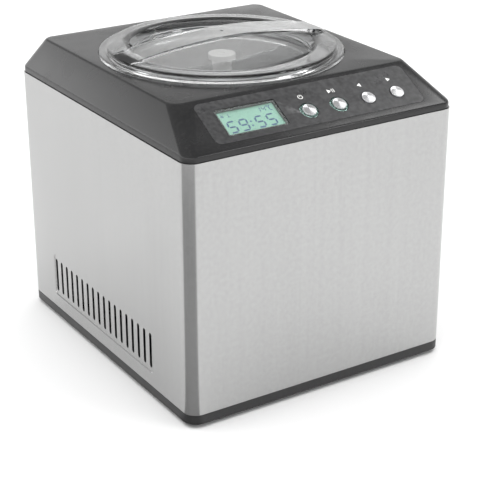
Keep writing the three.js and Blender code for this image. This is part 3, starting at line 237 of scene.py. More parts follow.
@dataclass(frozen=True)
class Finish:
    """An opaque finish with mottle, grain or brushing, lighter edges and dust; the lighter edges are rubbed
    wear, and on the panel film a painted highlight.
    """

    name: str
    color: Color
    roughness: float = 0.4
    roughness_swing: float = 0.06
    metallic: float = 0.0
    ior: float = 1.5
    specular: float = 0.5
    coat: float = 0.0
    coat_roughness: float = 0.1
    anisotropy: float = 0.0
    anisotropy_turn: float = 0.0
    tone_swing: float = 0.08  # share of the colour that slow patches change
    patch_size: float = 26.0
    grain_size: float = 0.7
    grain_depth: float = 0.01
    stretch: Color | None = None  # lines per metre on each axis, for a brushed finish
    # share and colour of the lighter edges: rubbed wear, and on the panel film a painted highlight
    wear_and_highlight: float = 0.15
    wear_and_highlight_color: Color | None = None
    dust: float = 0.0

    def material(self) -> bpy.types.Material:
        """Builds the material, or returns it where it is built already."""
        known = bpy.data.materials.get(self.name)
        if known:
            return known
        material = bpy.data.materials.new(self.name)
        material.use_nodes = True
        material.node_tree.nodes.clear()
        graph = Graph(material.node_tree)
        shader = graph.add("BsdfPrincipled")
        place = graph.add("TexCoord").outputs["Object"]
        self.dress(graph, shader, place)
        graph.add("OutputMaterial", None, {"Surface": shader.outputs[0]})
        return material

    def group(self, graph: Graph, tree: bpy.types.NodeTree, inputs: dict) -> bpy.types.Node:
        """Places one effect group in the material."""
        node = graph.add("Group", {"node_tree": tree})
        for key, value in inputs.items():
            graph.feed(node.inputs[key], value)
        return node

    def dress(self, graph: Graph, shader: bpy.types.Node, place: bpy.types.NodeSocket) -> None:
        """Sets the shader's constants and links its changing colour, roughness and normal.

        Args:
            graph: The material's graph.
            shader: Its Principled shader.
            place: Object coordinates in metres.
        """
        for label, value in (("Metallic", self.metallic), ("IOR", self.ior), ("Coat Weight", self.coat),
                             ("Specular IOR Level", self.specular), ("Coat Roughness", self.coat_roughness),
                             ("Anisotropic", self.anisotropy),
                             ("Anisotropic Rotation", self.anisotropy_turn)):
            shader.inputs[label].default_value = value
        share = self.group(graph, EFFECTS.mottle,
                           {"Vector": place, "Patch Size": self.patch_size * MM}).outputs[0]
        if self.stretch:
            lines = self.group(graph, EFFECTS.brushing, {"Vector": place, "Stretch": self.stretch})
            height = lines.outputs["Height"]
            share = graph.math("ADD", graph.math("MULTIPLY", share, 0.4),
                               graph.math("MULTIPLY", lines.outputs["Streak"], 0.6))
        else:
            height = self.group(graph, EFFECTS.grain,
                                {"Vector": place, "Grain Size": self.grain_size * MM}).outputs[0]
        dark = (*(c * (1 - self.tone_swing) for c in self.color), 1.0)
        light = (*(min(1.0, c * (1 + self.tone_swing)) for c in self.color), 1.0)
        color = graph.blend(share, dark, light)
        rough = graph.remap(share, 0.0, 1.0, self.roughness - self.roughness_swing,
                            self.roughness + self.roughness_swing)
        # lighter outer edges: rubbed wear, and on the panel film a painted highlight line along its edges
        edge_wear_and_highlight_mask = self.group(graph, EFFECTS.edge_wear_and_highlight, {"Vector": place, "Amount": self.wear_and_highlight}).outputs[0]
        edge = self.wear_and_highlight_color or tuple(min(1.0, c * 1.5 + 0.05) for c in self.color)
        color = graph.blend(edge_wear_and_highlight_mask, color, (*edge, 1.0))
        if self.dust:
            lying = self.group(graph, EFFECTS.dust, {"Vector": place, "Amount": self.dust}).outputs[0]
            color = graph.blend(lying, color, DUST_COLOR)
            rough = graph.math("ADD", rough, graph.math("MULTIPLY", lying, 0.4))
        bump = graph.add("Bump", None, {"Strength": 1.0, "Distance": self.grain_depth * MM, "Height": height})
        graph.feed(shader.inputs["Base Color"], color)
        graph.feed(shader.inputs["Roughness"], rough)
        graph.feed(shader.inputs["Normal"], bump.outputs[0])


@dataclass(frozen=True)
class ClearFinish(Finish):
    """A clear moulding or pane: plain transmission, faint flow marks and a slight tint."""

    transmission: float = 1.0

    def dress(self, graph: Graph, shader: bpy.types.Node, place: bpy.types.NodeSocket) -> None:
        """Sets the glass constants and links the tint, the gloss and the flow marks."""
        shader.inputs["Transmission Weight"].default_value = self.transmission
        shader.inputs["IOR"].default_value = self.ior
        share = self.group(graph, EFFECTS.mottle,
                           {"Vector": place, "Patch Size": self.patch_size * MM}).outputs[0]
        tint = tuple(c * (1 - self.tone_swing) for c in self.color)
        graph.feed(shader.inputs["Base Color"], graph.blend(share, (*self.color, 1.0), (*tint, 1.0)))
        rough = graph.remap(share, 0.0, 1.0, self.roughness, self.roughness + self.roughness_swing)
        graph.feed(shader.inputs["Roughness"], rough)
        bump = graph.add("Bump", None, {"Strength": 1.0, "Distance": self.grain_depth * MM, "Height": share})
        graph.feed(shader.inputs["Normal"], bump.outputs[0])


@dataclass(frozen=True)
class LitFinish(Finish):
    """A finish that glows a little, such as a backlit screen or a light ring."""

    glow: float = 0.3

    def dress(self, graph: Graph, shader: bpy.types.Node, place: bpy.types.NodeSocket) -> None:
        """Dresses it as an opaque finish and adds a glow that slow patches change."""
        super().dress(graph, shader, place)
        share = self.group(graph, EFFECTS.mottle, {"Vector": place, "Patch Size": 0.012}).outputs[0]
        dim = (*(c * 0.86 for c in self.color), 1.0)
        graph.feed(shader.inputs["Emission Color"], graph.blend(share, dim, (*self.color, 1.0)))
        shader.inputs["Emission Strength"].default_value = self.glow


class Finishes:
    """Every finish of the machine, by what it is made of."""

    steel = Finish("brushed_steel", (0.42, 0.42, 0.418), 0.24, 0.03, 1.0, tone_swing=0.045, patch_size=120,
                   stretch=(1100.0, 1100.0, 9.0), grain_depth=0.004, wear_and_highlight=0.3, wear_and_highlight_color=(0.8, 0.8, 0.8))
    cover = Finish("satin_black_moulding", (0.011, 0.011, 0.0115), 0.25, 0.04, tone_swing=0.12,
                   grain_size=0.5, grain_depth=0.006, wear_and_highlight=0.1, wear_and_highlight_color=(0.06, 0.06, 0.06), dust=0.02)
    base = Finish("base_black_moulding", (0.014, 0.014, 0.0145), 0.45, 0.05, tone_swing=0.15,
                  grain_depth=0.01, wear_and_highlight=0.2, wear_and_highlight_color=(0.1, 0.1, 0.1), dust=0.02)
    # the film's edges get a painted highlight: the full edge mask in a light grey
    panel = Finish("panel_film", (0.017, 0.017, 0.018), 0.3, 0.03, tone_swing=0.1, grain_size=0.35,
                   grain_depth=0.004, wear_and_highlight=1.0, wear_and_highlight_color=(0.12, 0.12, 0.122), dust=0.02)
    clear = ClearFinish("clear_moulding", (0.97, 0.975, 0.975), 0.03, 0.03, ior=1.49, tone_swing=0.02,
                        patch_size=40, grain_depth=0.01)
    ring = ClearFinish("light_ring_moulding", (0.62, 0.93, 0.84), 0.12, 0.06, ior=1.49, tone_swing=0.06,
                       patch_size=3, grain_depth=0.02)
    pane = ClearFinish("screen_pane", (0.93, 0.985, 0.96), 0.02, 0.03, ior=1.45, tone_swing=0.02,
                       patch_size=20, grain_depth=0.001)
    screen = LitFinish("screen_backlight", (0.27, 0.47, 0.39), 0.35, 0.03, tone_swing=0.05, patch_size=14,
                       grain_size=0.3, grain_depth=0.001, wear_and_highlight=0.0, glow=0.28)
    screen_ink = Finish("screen_segments", (0.03, 0.09, 0.24), 0.4, 0.04, tone_swing=0.2, patch_size=4,
                        wear_and_highlight=0.0, grain_size=0.2, grain_depth=0.001)
    icon_ink = Finish("icon_ink", (0.78, 0.78, 0.76), 0.5, 0.05, tone_swing=0.05, patch_size=3, wear_and_highlight=0.0,
                      grain_size=0.3, grain_depth=0.002)
    button = Finish("turned_button_metal", (0.82, 0.82, 0.83), 0.3, 0.03, 1.0, anisotropy=0.9,
                    anisotropy_turn=0.25, tone_swing=0.03, patch_size=6, grain_size=0.25, grain_depth=0.001,
                    wear_and_highlight=0.1)
    white = Finish("white_moulding", (0.82, 0.82, 0.8), 0.32, 0.05, tone_swing=0.03, grain_depth=0.004,
                   wear_and_highlight=0.05, coat=0.15)
    bowl = Finish("drawn_aluminium", (0.56, 0.565, 0.57), 0.3, 0.05, 1.0, tone_swing=0.05, patch_size=18,
                  stretch=(240.0, 240.0, 2400.0), grain_depth=0.006, wear_and_highlight=0.2)
    pot = Finish("pot_aluminium", (0.6, 0.61, 0.62), 0.38, 0.06, 1.0, tone_swing=0.06, patch_size=20,
                 stretch=(200.0, 200.0, 2000.0), grain_depth=0.008, wear_and_highlight=0.2)
    fins = Finish("fin_aluminium", (0.62, 0.63, 0.64), 0.42, 0.08, 1.0, tone_swing=0.1, patch_size=8)
    copper = Finish("drawn_copper", (0.62, 0.3, 0.17), 0.32, 0.1, 1.0, tone_swing=0.2, patch_size=12,
                    wear_and_highlight=0.3, wear_and_highlight_color=(0.8, 0.45, 0.3))
    foam = Finish("rigid_foam", (0.72, 0.6, 0.33), 0.85, 0.05, tone_swing=0.12, patch_size=9, grain_size=1.6,
                  grain_depth=0.25, wear_and_highlight=0.1)
    zinc = Finish("zinc_plate", (0.58, 0.6, 0.62), 0.34, 0.1, 1.0, tone_swing=0.12, patch_size=7, wear_and_highlight=0.3)
    rubber = Finish("foot_rubber", (0.018, 0.018, 0.018), 0.8, 0.06, tone_swing=0.2, patch_size=5,
                    grain_size=0.5, grain_depth=0.03, dust=0.03)
    board = Finish("lacquered_board", (0.02, 0.12, 0.05), 0.3, 0.08, tone_swing=0.3, patch_size=4, coat=0.3)
    enamel = Finish("black_enamel", (0.012, 0.012, 0.013), 0.28, 0.05, tone_swing=0.2, patch_size=20,
                    grain_size=2.0, grain_depth=0.03, coat=0.5, dust=0.04)
    nylon = Finish("natural_nylon", (0.7, 0.67, 0.56), 0.45, 0.05, tone_swing=0.06, patch_size=9, wear_and_highlight=0.05)
    floor = Finish("studio_floor", (0.86, 0.86, 0.86), 0.9, 0.02, tone_swing=0.004, patch_size=400, wear_and_highlight=0.0,
                   grain_size=4.0, grain_depth=0.0, specular=0.0)
    flag = Finish("studio_flag", (0.31, 0.31, 0.31), 0.9, 0.02, tone_swing=0.01, patch_size=200, wear_and_highlight=0.0,
                  grain_size=4.0, grain_depth=0.0, specular=0.0)


# ------------------------------------------------------------------ mesh work
def new_object(name: str, body: BMesh) -> bpy.types.Object:
    """Turns a bmesh into an object in the scene and frees the bmesh."""
    mesh = bpy.data.meshes.new(name)
    body.to_mesh(mesh)
    body.free()
    piece = bpy.data.objects.new(name, mesh)
    bpy.context.scene.collection.objects.link(piece)
    return piece


def combine(body: BMesh, tool: BMesh, how: Combine) -> BMesh:
    """Joins, cuts or intersects two closed bodies.

    Args:
        body: The body that is kept; it is used up.
        tool: The body that acts on it; it is used up.
        how: What the tool does.

    Returns:
        The resulting body.
    """
    kept, other = new_object("combine_body", body), new_object("combine_tool", tool)
    modifier = kept.modifiers.new("combine", "BOOLEAN")
    modifier.operation = how.value
    modifier.solver = "EXACT"
    modifier.object = other
    bpy.context.view_layer.update()
    evaluated = kept.evaluated_get(bpy.context.evaluated_depsgraph_get())
    result = bmesh.new()
    result.from_mesh(evaluated.to_mesh())
    evaluated.to_mesh_clear()
    for used in (kept, other):
        mesh = used.data
        bpy.data.objects.remove(used)
        bpy.data.meshes.remove(mesh)
    bmesh.ops.remove_doubles(result, verts=result.verts, dist=WELD)
    return result


def gather(parts: list[BMesh]) -> BMesh:
    """Puts separate bodies into one bmesh, side by side."""
    result = bmesh.new()
    for part in parts:
        mesh = bpy.data.meshes.new("gather")
        part.to_mesh(mesh)
        part.free()
        result.from_mesh(mesh)
        bpy.data.meshes.remove(mesh)
    return result


def moved(body: BMesh, matrix: Matrix) -> BMesh:
    """Moves a body by a matrix and returns it."""
    bmesh.ops.transform(body, matrix=matrix, verts=body.verts)
    return body


def verts_of(geometry: list) -> list:
    """Keeps the vertices of what an operator returned."""
    return [item for item in geometry if isinstance(item, bmesh.types.BMVert)]


def bevel(body: BMesh, edges: list, offset: float, segments: int = 3) -> BMesh:
    """Rounds some edges of a body and returns it."""
    bmesh.ops.bevel(body, geom=edges, offset=offset, offset_type="OFFSET", segments=segments, profile=0.5,
                    affect="EDGES", material=-1, clamp_overlap=True)
    return body


def is_upright(edge: bmesh.types.BMEdge) -> bool:
    """Tells whether an edge runs along Z."""
    step = edge.verts[1].co - edge.verts[0].co
    return abs(step.z) > 0.999 * step.length


def block(width: float, depth: float, low: float, high: float, corner: float = 0.0,
          middle: tuple[float, float] = (0.0, 0.0), segments: int = 8) -> BMesh:
    """Makes a block on Z with rounded upright edges.

    Args:
        width: Size along X.
        depth: Size along Y.
        low: Lower face.
        high: Upper face.
        corner: Radius of the upright edges.
        middle: Middle of the block in X and Y.
        segments: Faces in each rounded edge.

    Returns:
        The block.
    """
    body = bmesh.new()
    bmesh.ops.create_cube(body, size=1.0)
    bmesh.ops.scale(body, vec=(width, depth, high - low), verts=body.verts)
    bmesh.ops.translate(body, vec=(*middle, (low + high) / 2), verts=body.verts)
    if corner:
        bevel(body, [e for e in body.edges if is_upright(e)], corner, segments)
    return body


def turned(profile: Profile, sides: int = 96, closed: bool = False,
           middle: tuple[float, float] = (0.0, 0.0)) -> BMesh:
    """Turns an outline of (radius, height) points about Z.

    Args:
        profile: The outline, from the axis back to the axis, or a loop.
        sides: Steps of the full turn.
        closed: Whether the outline is a loop that closes on itself.
        middle: Where the axis stands in X and Y.

    Returns:
        The closed body.
    """
    body = bmesh.new()
    verts = [body.verts.new((radius, 0.0, height)) for radius, height in profile]
    pairs = list(zip(verts, verts[1:])) + ([(verts[-1], verts[0])] if closed else [])
    edges = [body.edges.new(pair) for pair in pairs]
    bmesh.ops.spin(body, geom=verts + edges, cent=(0, 0, 0), axis=(0, 0, 1), angle=TURN, steps=sides,
                   use_merge=True, use_duplicate=False)
    bmesh.ops.remove_doubles(body, verts=body.verts, dist=WELD)
    bmesh.ops.recalc_face_normals(body, faces=body.faces)
    bmesh.ops.translate(body, vec=(*middle, 0), verts=body.verts)
    return body


def rounding(radius: float, height: float, size: float, start: float, end: float, steps: int = 4) -> Profile:
    """Gives the points of an arc for a turned outline, with angles in degrees."""
    angles = [math.radians(start + (end - start) * i / steps) for i in range(steps + 1)]
    return [(radius + size * math.cos(a), height + size * math.sin(a)) for a in angles]


def rod(radius: float, low: float, high: float, middle: tuple[float, float] = (0.0, 0.0),
        sides: int = 64) -> BMesh:
    """Makes a round rod standing on Z."""
    return turned([(0, low), (radius, low), (radius, high), (0, high)], sides, middle=middle)


def printed_ring(inner: float, outer: float, height: float, sides: int,
                 middle: tuple[float, float]) -> BMesh:
    """Makes a flat ring that stands on its print's level."""
    return turned([(inner, 0), (outer, 0), (outer, height), (inner, height)], sides, True, middle)


def prism(sides: int, radius: float, depth: float) -> BMesh:
    """Makes a regular prism on Z, round the origin."""
    body = bmesh.new()
    bmesh.ops.create_cone(body, cap_ends=True, segments=sides, radius1=radius, radius2=radius, depth=depth)
    return body


def from_node(name: str) -> BMesh:
    """Copies a frame node's solid in millimetres, merged and with its flat faces joined up."""
    body = bmesh.new()
    body.from_mesh(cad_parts[name].data)
    bmesh.ops.scale(body, vec=(1 / MM,) * 3, verts=body.verts)
    bmesh.ops.remove_doubles(body, verts=body.verts, dist=0.002)
    bmesh.ops.dissolve_limit(body, angle_limit=math.radians(0.8), verts=body.verts, edges=body.edges)
    return body


def finish_piece(name: str, body: BMesh, rides_on: str, finish: Finish,
                 replaces: tuple[str, ...] = (),
                 soften: float = 0.0, soften_angle: float = 40.0, segments: int = 2) -> bpy.types.Object:
    """Turns a body into a finished piece in metres.

    Args:
        name: The piece's name.
        body: Its shape in millimetres; it is used up.
        rides_on: The frame body that it moves with.
        finish: Its finish.
        replaces: Frame nodes that it stands for.
        soften: Width of the small rounding on its edges, or 0.
        soften_angle: Edges sharper than this many degrees are rounded.
        segments: Faces across the rounding.

    Returns:
        The finished object.
    """
    bmesh.ops.scale(body, vec=(MM,) * 3, verts=body.verts)
    piece = new_object(name, body)
    piece.data.shade_smooth()
    piece.data.set_sharp_from_angle(angle=SHARP_ANGLE)
    piece.data.materials.clear()
    piece.data.materials.append(finish.material())
    if soften:
        modifier = piece.modifiers.new("soft_edges", "BEVEL")
        modifier.width = soften * MM
        modifier.segments = segments
        modifier.limit_method = "ANGLE"
        modifier.angle_limit = math.radians(soften_angle)
        modifier.harden_normals = True
        modifier.use_clamp_overlap = True
        modifier.miter_outer = "MITER_ARC"
    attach(piece, rides_on)
    if replaces:
        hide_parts(*replaces)
    LOG.info("%s: %d faces on %s", name, len(piece.data.polygons), rides_on)
    return piece


# ------------------------------------------------------------------ housing
@dataclass
class Housing:
    """The steel wrap with its side vents, the base under it and the rubber feet."""

    width: float = 270.0
    depth: float = 308.0
    corner: float = 12.0
    wall: float = 1.2
    bottom: float = 12.7
    top: float = 237.5
    vent_count: int = 18
    vent_first: float = -85.5
    vent_pitch: float = 10.82
    vent_width: float = 4.0
    vent_low: float = 30.0
    vent_high: float = 63.3
    field_margin: float = 5.5
    field_depth: float = 0.8
    field_slope: float = 1.55
    field_corner: float = 3.5
    rear_opening: tuple[float, float] = (189.0, 104.0)
    rear_middle: float = 83.4
    foot_radius: float = 11.7
    foot_height: float = 4.7

    def build(self) -> None:
        """Builds and dresses each piece of the housing."""
        finish_piece("steel_wrap", self.wrap(), MACHINE, Finishes.steel, ("steel_housing",), 0.28,
                     50.0)
        finish_piece("base_moulding", from_node("base_tray"), MACHINE, Finishes.base,
                     ("base_tray",), 0.7, 40.0, 3)
        for place in ("front_left", "front_right", "rear_left", "rear_right"):
            low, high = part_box("foot_" + place)
            middle = ((low.x + high.x) / 2 / MM, (low.y + high.y) / 2 / MM)
            finish_piece("rubber_foot_" + place, self.foot(middle), MACHINE, Finishes.rubber,
                         ("foot_" + place,))

    def wrap(self) -> BMesh:
        """Makes the steel wrap, an open tube with its vents and its back opening cut."""
        outer = block(self.width, self.depth, self.bottom, self.top, self.corner, segments=12)
        inner = block(self.width - 2 * self.wall, self.depth - 2 * self.wall, self.bottom - 5, self.top + 5,
                      self.corner - self.wall, segments=12)
        body = combine(outer, inner, Combine.CUT)
        for side in (-1, 1):
            body = combine(body, self.vent_field(side), Combine.CUT)
        body = combine(body, self.vent_slots(), Combine.CUT)
        wide, tall = self.rear_opening
        opening = block(wide, 20.0, self.rear_middle - tall / 2, self.rear_middle + tall / 2,
                        middle=(0.0, self.depth / 2))
        return combine(body, opening, Combine.CUT)

    def vent_field(self, side: int) -> BMesh:
        """Makes the cutter for the pressed field round one side's slots, with sloping edges."""
        low = self.vent_first - self.vent_width / 2 - self.field_margin + 2.0
        last = self.vent_first + (self.vent_count - 1) * self.vent_pitch
        high = last + self.vent_width / 2 + self.field_margin - 2.0
        tall = self.vent_high - self.vent_low + 2 * self.field_margin
        over = 1.0
        body = block(tall, high - low, 0.0, over, self.field_corner, segments=6)
        floor = [f for f in body.faces if f.normal.z < -0.9][0]
        bmesh.ops.translate(body, vec=(0, 0, over), verts=body.verts)
        grown = bmesh.ops.extrude_face_region(body, geom=[floor])["geom"]
        bottom = verts_of(grown)
        bmesh.ops.translate(body, vec=(0, 0, -over - self.field_depth), verts=bottom)
        shrink = self.field_slope
        bmesh.ops.scale(body, vec=(1 - 2 * shrink / tall, 1 - 2 * shrink / (high - low), 1), verts=bottom)
        if floor.is_valid:
            bmesh.ops.delete(body, geom=[floor], context="FACES_ONLY")
        bmesh.ops.recalc_face_normals(body, faces=body.faces)
        turn = Matrix.Rotation(math.radians(90 * side), 4, "Y")
        place = Matrix.Translation((side * self.width / 2, (low + high) / 2,
                                    (self.vent_low + self.vent_high) / 2))
        return moved(body, place @ turn)

    def vent_slots(self) -> BMesh:
        """Makes the cutter for every slot: round-ended bars that run through both sides."""
        tall = self.vent_high - self.vent_low
        bars = []
        for i in range(self.vent_count):
            bar = block(tall, self.vent_width, -self.width, self.width, self.vent_width / 2 - 0.01,
                        segments=5)
            place = Matrix.Translation((0, self.vent_first + i * self.vent_pitch, self.vent_low + tall / 2))
            bars.append(moved(bar, place @ Matrix.Rotation(math.radians(90), 4, "Y")))
        return gather(bars)

    def foot(self, middle: tuple[float, float]) -> BMesh:
        """Makes one rubber foot, a low cone with a recessed sole."""
        r, top = self.foot_radius, self.foot_height
        profile = [(0, 0.8), (r - 4.5, 0.8), (r - 4.0, 0.0), *rounding(r - 1.6, 0.6, 0.6, -90, 0, 3),
                   (r, top - 0.7), (r - 0.5, top), (0, top)]
        return turned(profile, 48, middle=middle)


# ------------------------------------------------------------------ cover and control panel
@dataclass
class Cover:
    """The black cover: its lip, four slopes, the lid's seat and the sloping control panel."""

    width: float = 270.0
    depth: float = 308.0
    bottom: float = 237.8
    lip_top: float = 242.9
    top: float = 270.3
    lip_inset: float = 1.0
    lip_corner: float = 11.0
    side_inset: float = 16.4
    back_inset: float = 18.7
    front_inset: float = 50.0
    top_corner: float = 10.0
    wall: float = 2.5
    edge_round: float = 1.5
    axis_y: float = 11.6
    opening_radius: float = 96.5
    seat_radius: float = 110.7
    seat_level: float = 268.3
    seat_thickness: float = 3.5
    panel_middle: float = 3.0
    panel_size: tuple[float, float] = (210.0, 45.0)
    panel_top: float = 4.0
    panel_corner: float = 6.0
    panel_thickness: float = 0.9
    gap: float = 0.3
    screen_middle: float = -58.25
    screen_size: tuple[float, float] = (57.5, 28.3)
    screen_top: float = 14.0
    screen_corner: float = 1.6
    button_first: float = -4.7
    button_pitch: float = 30.35
    button_drop: float = 33.3
    button_radius: float = 6.25
    button_proud: float = 1.4
    button_clearance: float = 0.45
    ring_width: float = 1.4
    ring_proud: float = 0.35
    icon_drop: float = 17.7
    ink: float = 0.06
    film_proud: float = 0.22
    button_bodies: tuple[str, ...] = ("power_button", "start_pause_button", "time_down_button",
                                      "time_up_button")
    ringed: int = 2
    slope: Matrix = field(init=False)

    def __post_init__(self) -> None:
        """Works out the slope's own frame: x across, y up the slope, z out of it."""
        run = self.front_inset - self.lip_inset
        angle = math.atan2(self.top - self.lip_top, run)
        edge = Matrix.Translation((0, -self.depth / 2 + self.front_inset, self.top))
        self.slope = edge @ Matrix.Rotation(angle, 4, "X")

    def build(self) -> None:
        """Builds and dresses each piece of the cover and the panel."""
        finish_piece("cover_moulding", self.cover(), MACHINE, Finishes.cover, ("top_cover",),
                     0.3, 50.0)
        finish_piece("panel_overlay", self.overlay(), MACHINE, Finishes.panel,
                     ("control_panel",), 0.2, 50.0)
        self.screen()
        for index, name in enumerate(self.button_bodies):
            middle = self.button_middle(index)
            finish_piece(name + "_cap", moved(self.cap(middle), self.slope), name,
                         Finishes.button, (name,))
            if index < self.ringed:
                ring = name + "_light_ring"
                finish_piece(name + "_ring", moved(self.ring(middle), self.slope), MACHINE,
                             Finishes.ring, (ring,))
            sign = list(Icon)[index]
            printed = self.slope @ Matrix.Translation((0, 0, self.film_proud))
            finish_piece("icon_" + sign.value, moved(self.icon(sign, middle[0]), printed), MACHINE,
                         Finishes.icon_ink)

    def button_middle(self, index: int) -> tuple[float, float]:
        """Gives the middle of one button on the slope."""
        return self.button_first + index * self.button_pitch, -self.button_drop

    def stretch(self, wall: float, soft: float) -> BMesh:
        """Makes the cover's solid shape, set in by a wall, with its long edges rounded.

        Args:
            wall: Distance inside the outer shape.
            soft: Radius of the rounding on the lip's edge and the top's edge.

        Returns:
            The closed shape.
        """
        lip = self.lip_inset + wall
        low = self.bottom if not wall else self.bottom - 1.0
        body = block(self.width - 2 * lip, self.depth - 2 * lip, low, self.lip_top - 0.65 * wall,
                     self.lip_corner - wall, segments=10)
        body.faces.ensure_lookup_table()
        crown = [f for f in body.faces if f.normal.z > 0.9][0]
        grown = bmesh.ops.extrude_face_region(body, geom=[crown])["geom"]
        bmesh.ops.delete(body, geom=[crown], context="FACES_ONLY")
        ring = verts_of(grown)
        side, back = self.side_inset + 1.5 * wall, self.back_inset + wall
        front = self.front_inset + 0.4 * wall
        half_w, half_d = self.width / 2 - side, (self.depth - front - back) / 2
        middle_y, corner = (front - back) / 2, self.top_corner - wall / 2
        old_w, old_d, old_corner = self.width / 2 - lip, self.depth / 2 - lip, self.lip_corner - wall
        for vert in ring:
            sx, sy = math.copysign(1, vert.co.x), math.copysign(1, vert.co.y)
            dx = (abs(vert.co.x) - (old_w - old_corner)) / old_corner
            dy = (abs(vert.co.y) - (old_d - old_corner)) / old_corner
            vert.co = Vector((sx * (half_w - corner + dx * corner),
                              middle_y + sy * (half_d - corner + dy * corner), self.top - wall))
        if soft:
            def level(edge: bmesh.types.BMEdge, height: float) -> bool:
                """Tells whether both ends of an edge lie at one height."""
                return all(abs(v.co.z - height) < 0.01 for v in edge.verts)

            long_edges = [e for e in body.edges if level(e, self.lip_top) or level(e, self.top)]
            bevel(body, long_edges, soft, 4)
        bmesh.ops.recalc_face_normals(body, faces=body.faces)
        return body

    def cover(self) -> BMesh:
        """Makes the hollow cover with the lid's seat, the skirt, the panel's recess and every hole."""
        body = combine(self.stretch(0.0, self.edge_round), self.stretch(self.wall, 0.0), Combine.CUT)
        seat = turned([(self.opening_radius, self.seat_level - self.seat_thickness),
                       (self.seat_radius + 2, self.seat_level - self.seat_thickness),
                       (self.seat_radius + 2, self.top - self.wall / 2),
                       (self.opening_radius, self.top - self.wall / 2)], 160, True, (0.0, self.axis_y))
        body = combine(body, seat, Combine.JOIN)
        body = combine(body, self.skirt(), Combine.JOIN)
        axis = (0.0, self.axis_y)
        body = combine(body, rod(self.opening_radius, self.bottom - 20, self.top + 1, axis, 160), Combine.CUT)
        body = combine(body, rod(self.seat_radius, self.seat_level, self.top + 1, axis, 160), Combine.CUT)
        recess = self.panel_block(self.gap / 2, -self.panel_thickness - self.gap, 3.0)
        body = combine(body, recess, Combine.CUT)
        holes = [self.screen_block(-1.5, -12.0, 3.0)]
        hole = self.button_radius + self.button_clearance
        for index in range(len(self.button_bodies)):
            middle = self.button_middle(index)
            holes.append(moved(rod(hole, -6.0, 3.0, middle, 40), self.slope))
        return combine(body, gather(holes), Combine.CUT)

    def skirt(self) -> BMesh:
        """Makes the rib that slips inside the steel."""
        inset, rib = 1.5, 2.0
        low, high = self.bottom - 8.0, self.bottom + 1.5
        corner = self.lip_corner - 0.5
        outer = block(self.width - 2 * inset, self.depth - 2 * inset, low, high, corner)
        inner = block(self.width - 2 * (inset + rib), self.depth - 2 * (inset + rib), low - 1, high + 1,
                      corner - rib)
        return combine(outer, inner, Combine.CUT)

    def panel_block(self, grow: float, low: float, high: float) -> BMesh:
        """Makes the panel's rounded outline as a block between two heights over the slope."""
        middle = (self.panel_middle, -self.panel_top - self.panel_size[1] / 2)
        body = block(self.panel_size[0] + 2 * grow, self.panel_size[1] + 2 * grow, low, high,
                     self.panel_corner + grow, middle)
        return moved(body, self.slope)

    def screen_block(self, grow: float, low: float, high: float) -> BMesh:
        """Makes the screen's outline as a block between two heights over the slope."""
        middle = (self.screen_middle, -self.screen_top - self.screen_size[1] / 2)
        body = block(self.screen_size[0] + 2 * grow, self.screen_size[1] + 2 * grow, low, high,
                     max(0.6, self.screen_corner + grow), middle, 5)
        return moved(body, self.slope)

    def overlay(self) -> BMesh:
        """Makes the panel's film with its window and its button holes."""
        body = self.panel_block(0.0, -self.panel_thickness, self.film_proud)
        holes = [self.screen_block(self.gap, -3.0, 3.0)]
        for index in range(len(self.button_bodies)):
            radius = self.button_radius + self.button_clearance
            if index < self.ringed:
                radius += self.ring_width + self.gap
            middle = self.button_middle(index)
            holes.append(moved(rod(radius, -3.0, 3.0, middle, 48), self.slope))
        return combine(body, gather(holes), Combine.CUT)

    def cap(self, middle: tuple[float, float]) -> BMesh:
        """Makes one button: a shallow dished face, a rounded rim, a flange and a stem."""
        r, proud, soft = self.button_radius, self.button_proud, 0.4
        stem, foot = 2.0, -6.6
        flange, flange_radius, flange_low = -self.wall - self.gap, r + 1.4, -self.wall - self.gap - 1
        dish = ((r - 0.6, 0.02), (r - 0.75, 0.1), (r - 0.9, 0.12), (r - 1.2, 0.125), (r * 0.4, 0.14),
                (0, 0.145))
        profile = [(0, foot), (stem, foot), (stem, flange_low), (flange_radius, flange_low),
                   (flange_radius, flange), (r, flange), *rounding(r - soft, proud - soft, soft, 0, 80, 5),
                   *((radius, proud - drop) for radius, drop in dish)]
        return turned(profile, 64, middle=middle)

    def ring(self, middle: tuple[float, float]) -> BMesh:
        """Makes the clear light ring round a button."""
        inner = self.button_radius + self.button_clearance
        outer, top, soft = inner + self.ring_width, self.ring_proud, 0.3
        profile = [(inner, -self.panel_thickness), (outer, -self.panel_thickness), (outer, top - soft),
                   (outer - soft, top), (inner + soft, top), (inner, top - soft)]
        return turned(profile, 64, True, middle)

    def screen(self) -> None:
        """Builds the pane, the lit layer under it and its dark segments."""
        low = -self.panel_thickness
        finish_piece("screen_pane", self.screen_block(0.0, low, low + 0.7), MACHINE, Finishes.pane,
                     ("screen_window",), 0.1, 50.0)
        lit = -self.wall - 2 * self.gap
        back = self.screen_block(2.5, lit - 5.0, lit)
        finish_piece("screen_module", back, MACHINE, Finishes.screen, ("display_module",), 0.3,
                     50.0)
        digits = gather([self.clock(), self.thermometer(), self.marks()])
        bmesh.ops.translate(digits, vec=(0, 0, lit), verts=digits.verts)
        finish_piece("screen_segments", moved(digits, self.slope), MACHINE, Finishes.screen_ink)

    def bar(self, start: tuple[float, float], end: tuple[float, float], thick: float) -> BMesh:
        """Makes one printed bar with pointed ends between two points."""
        a, b = Vector((*start, 0)), Vector((*end, 0))
        length = (b - a).length
        body = block(length, thick, 0.0, self.ink)
        tips = [e for e in body.edges if is_upright(e)]
        bevel(body, tips, thick * 0.45, 1)
        turn = math.atan2(b.y - a.y, b.x - a.x)
        return moved(body, Matrix.Translation((a + b) / 2) @ Matrix.Rotation(turn, 4, "Z"))

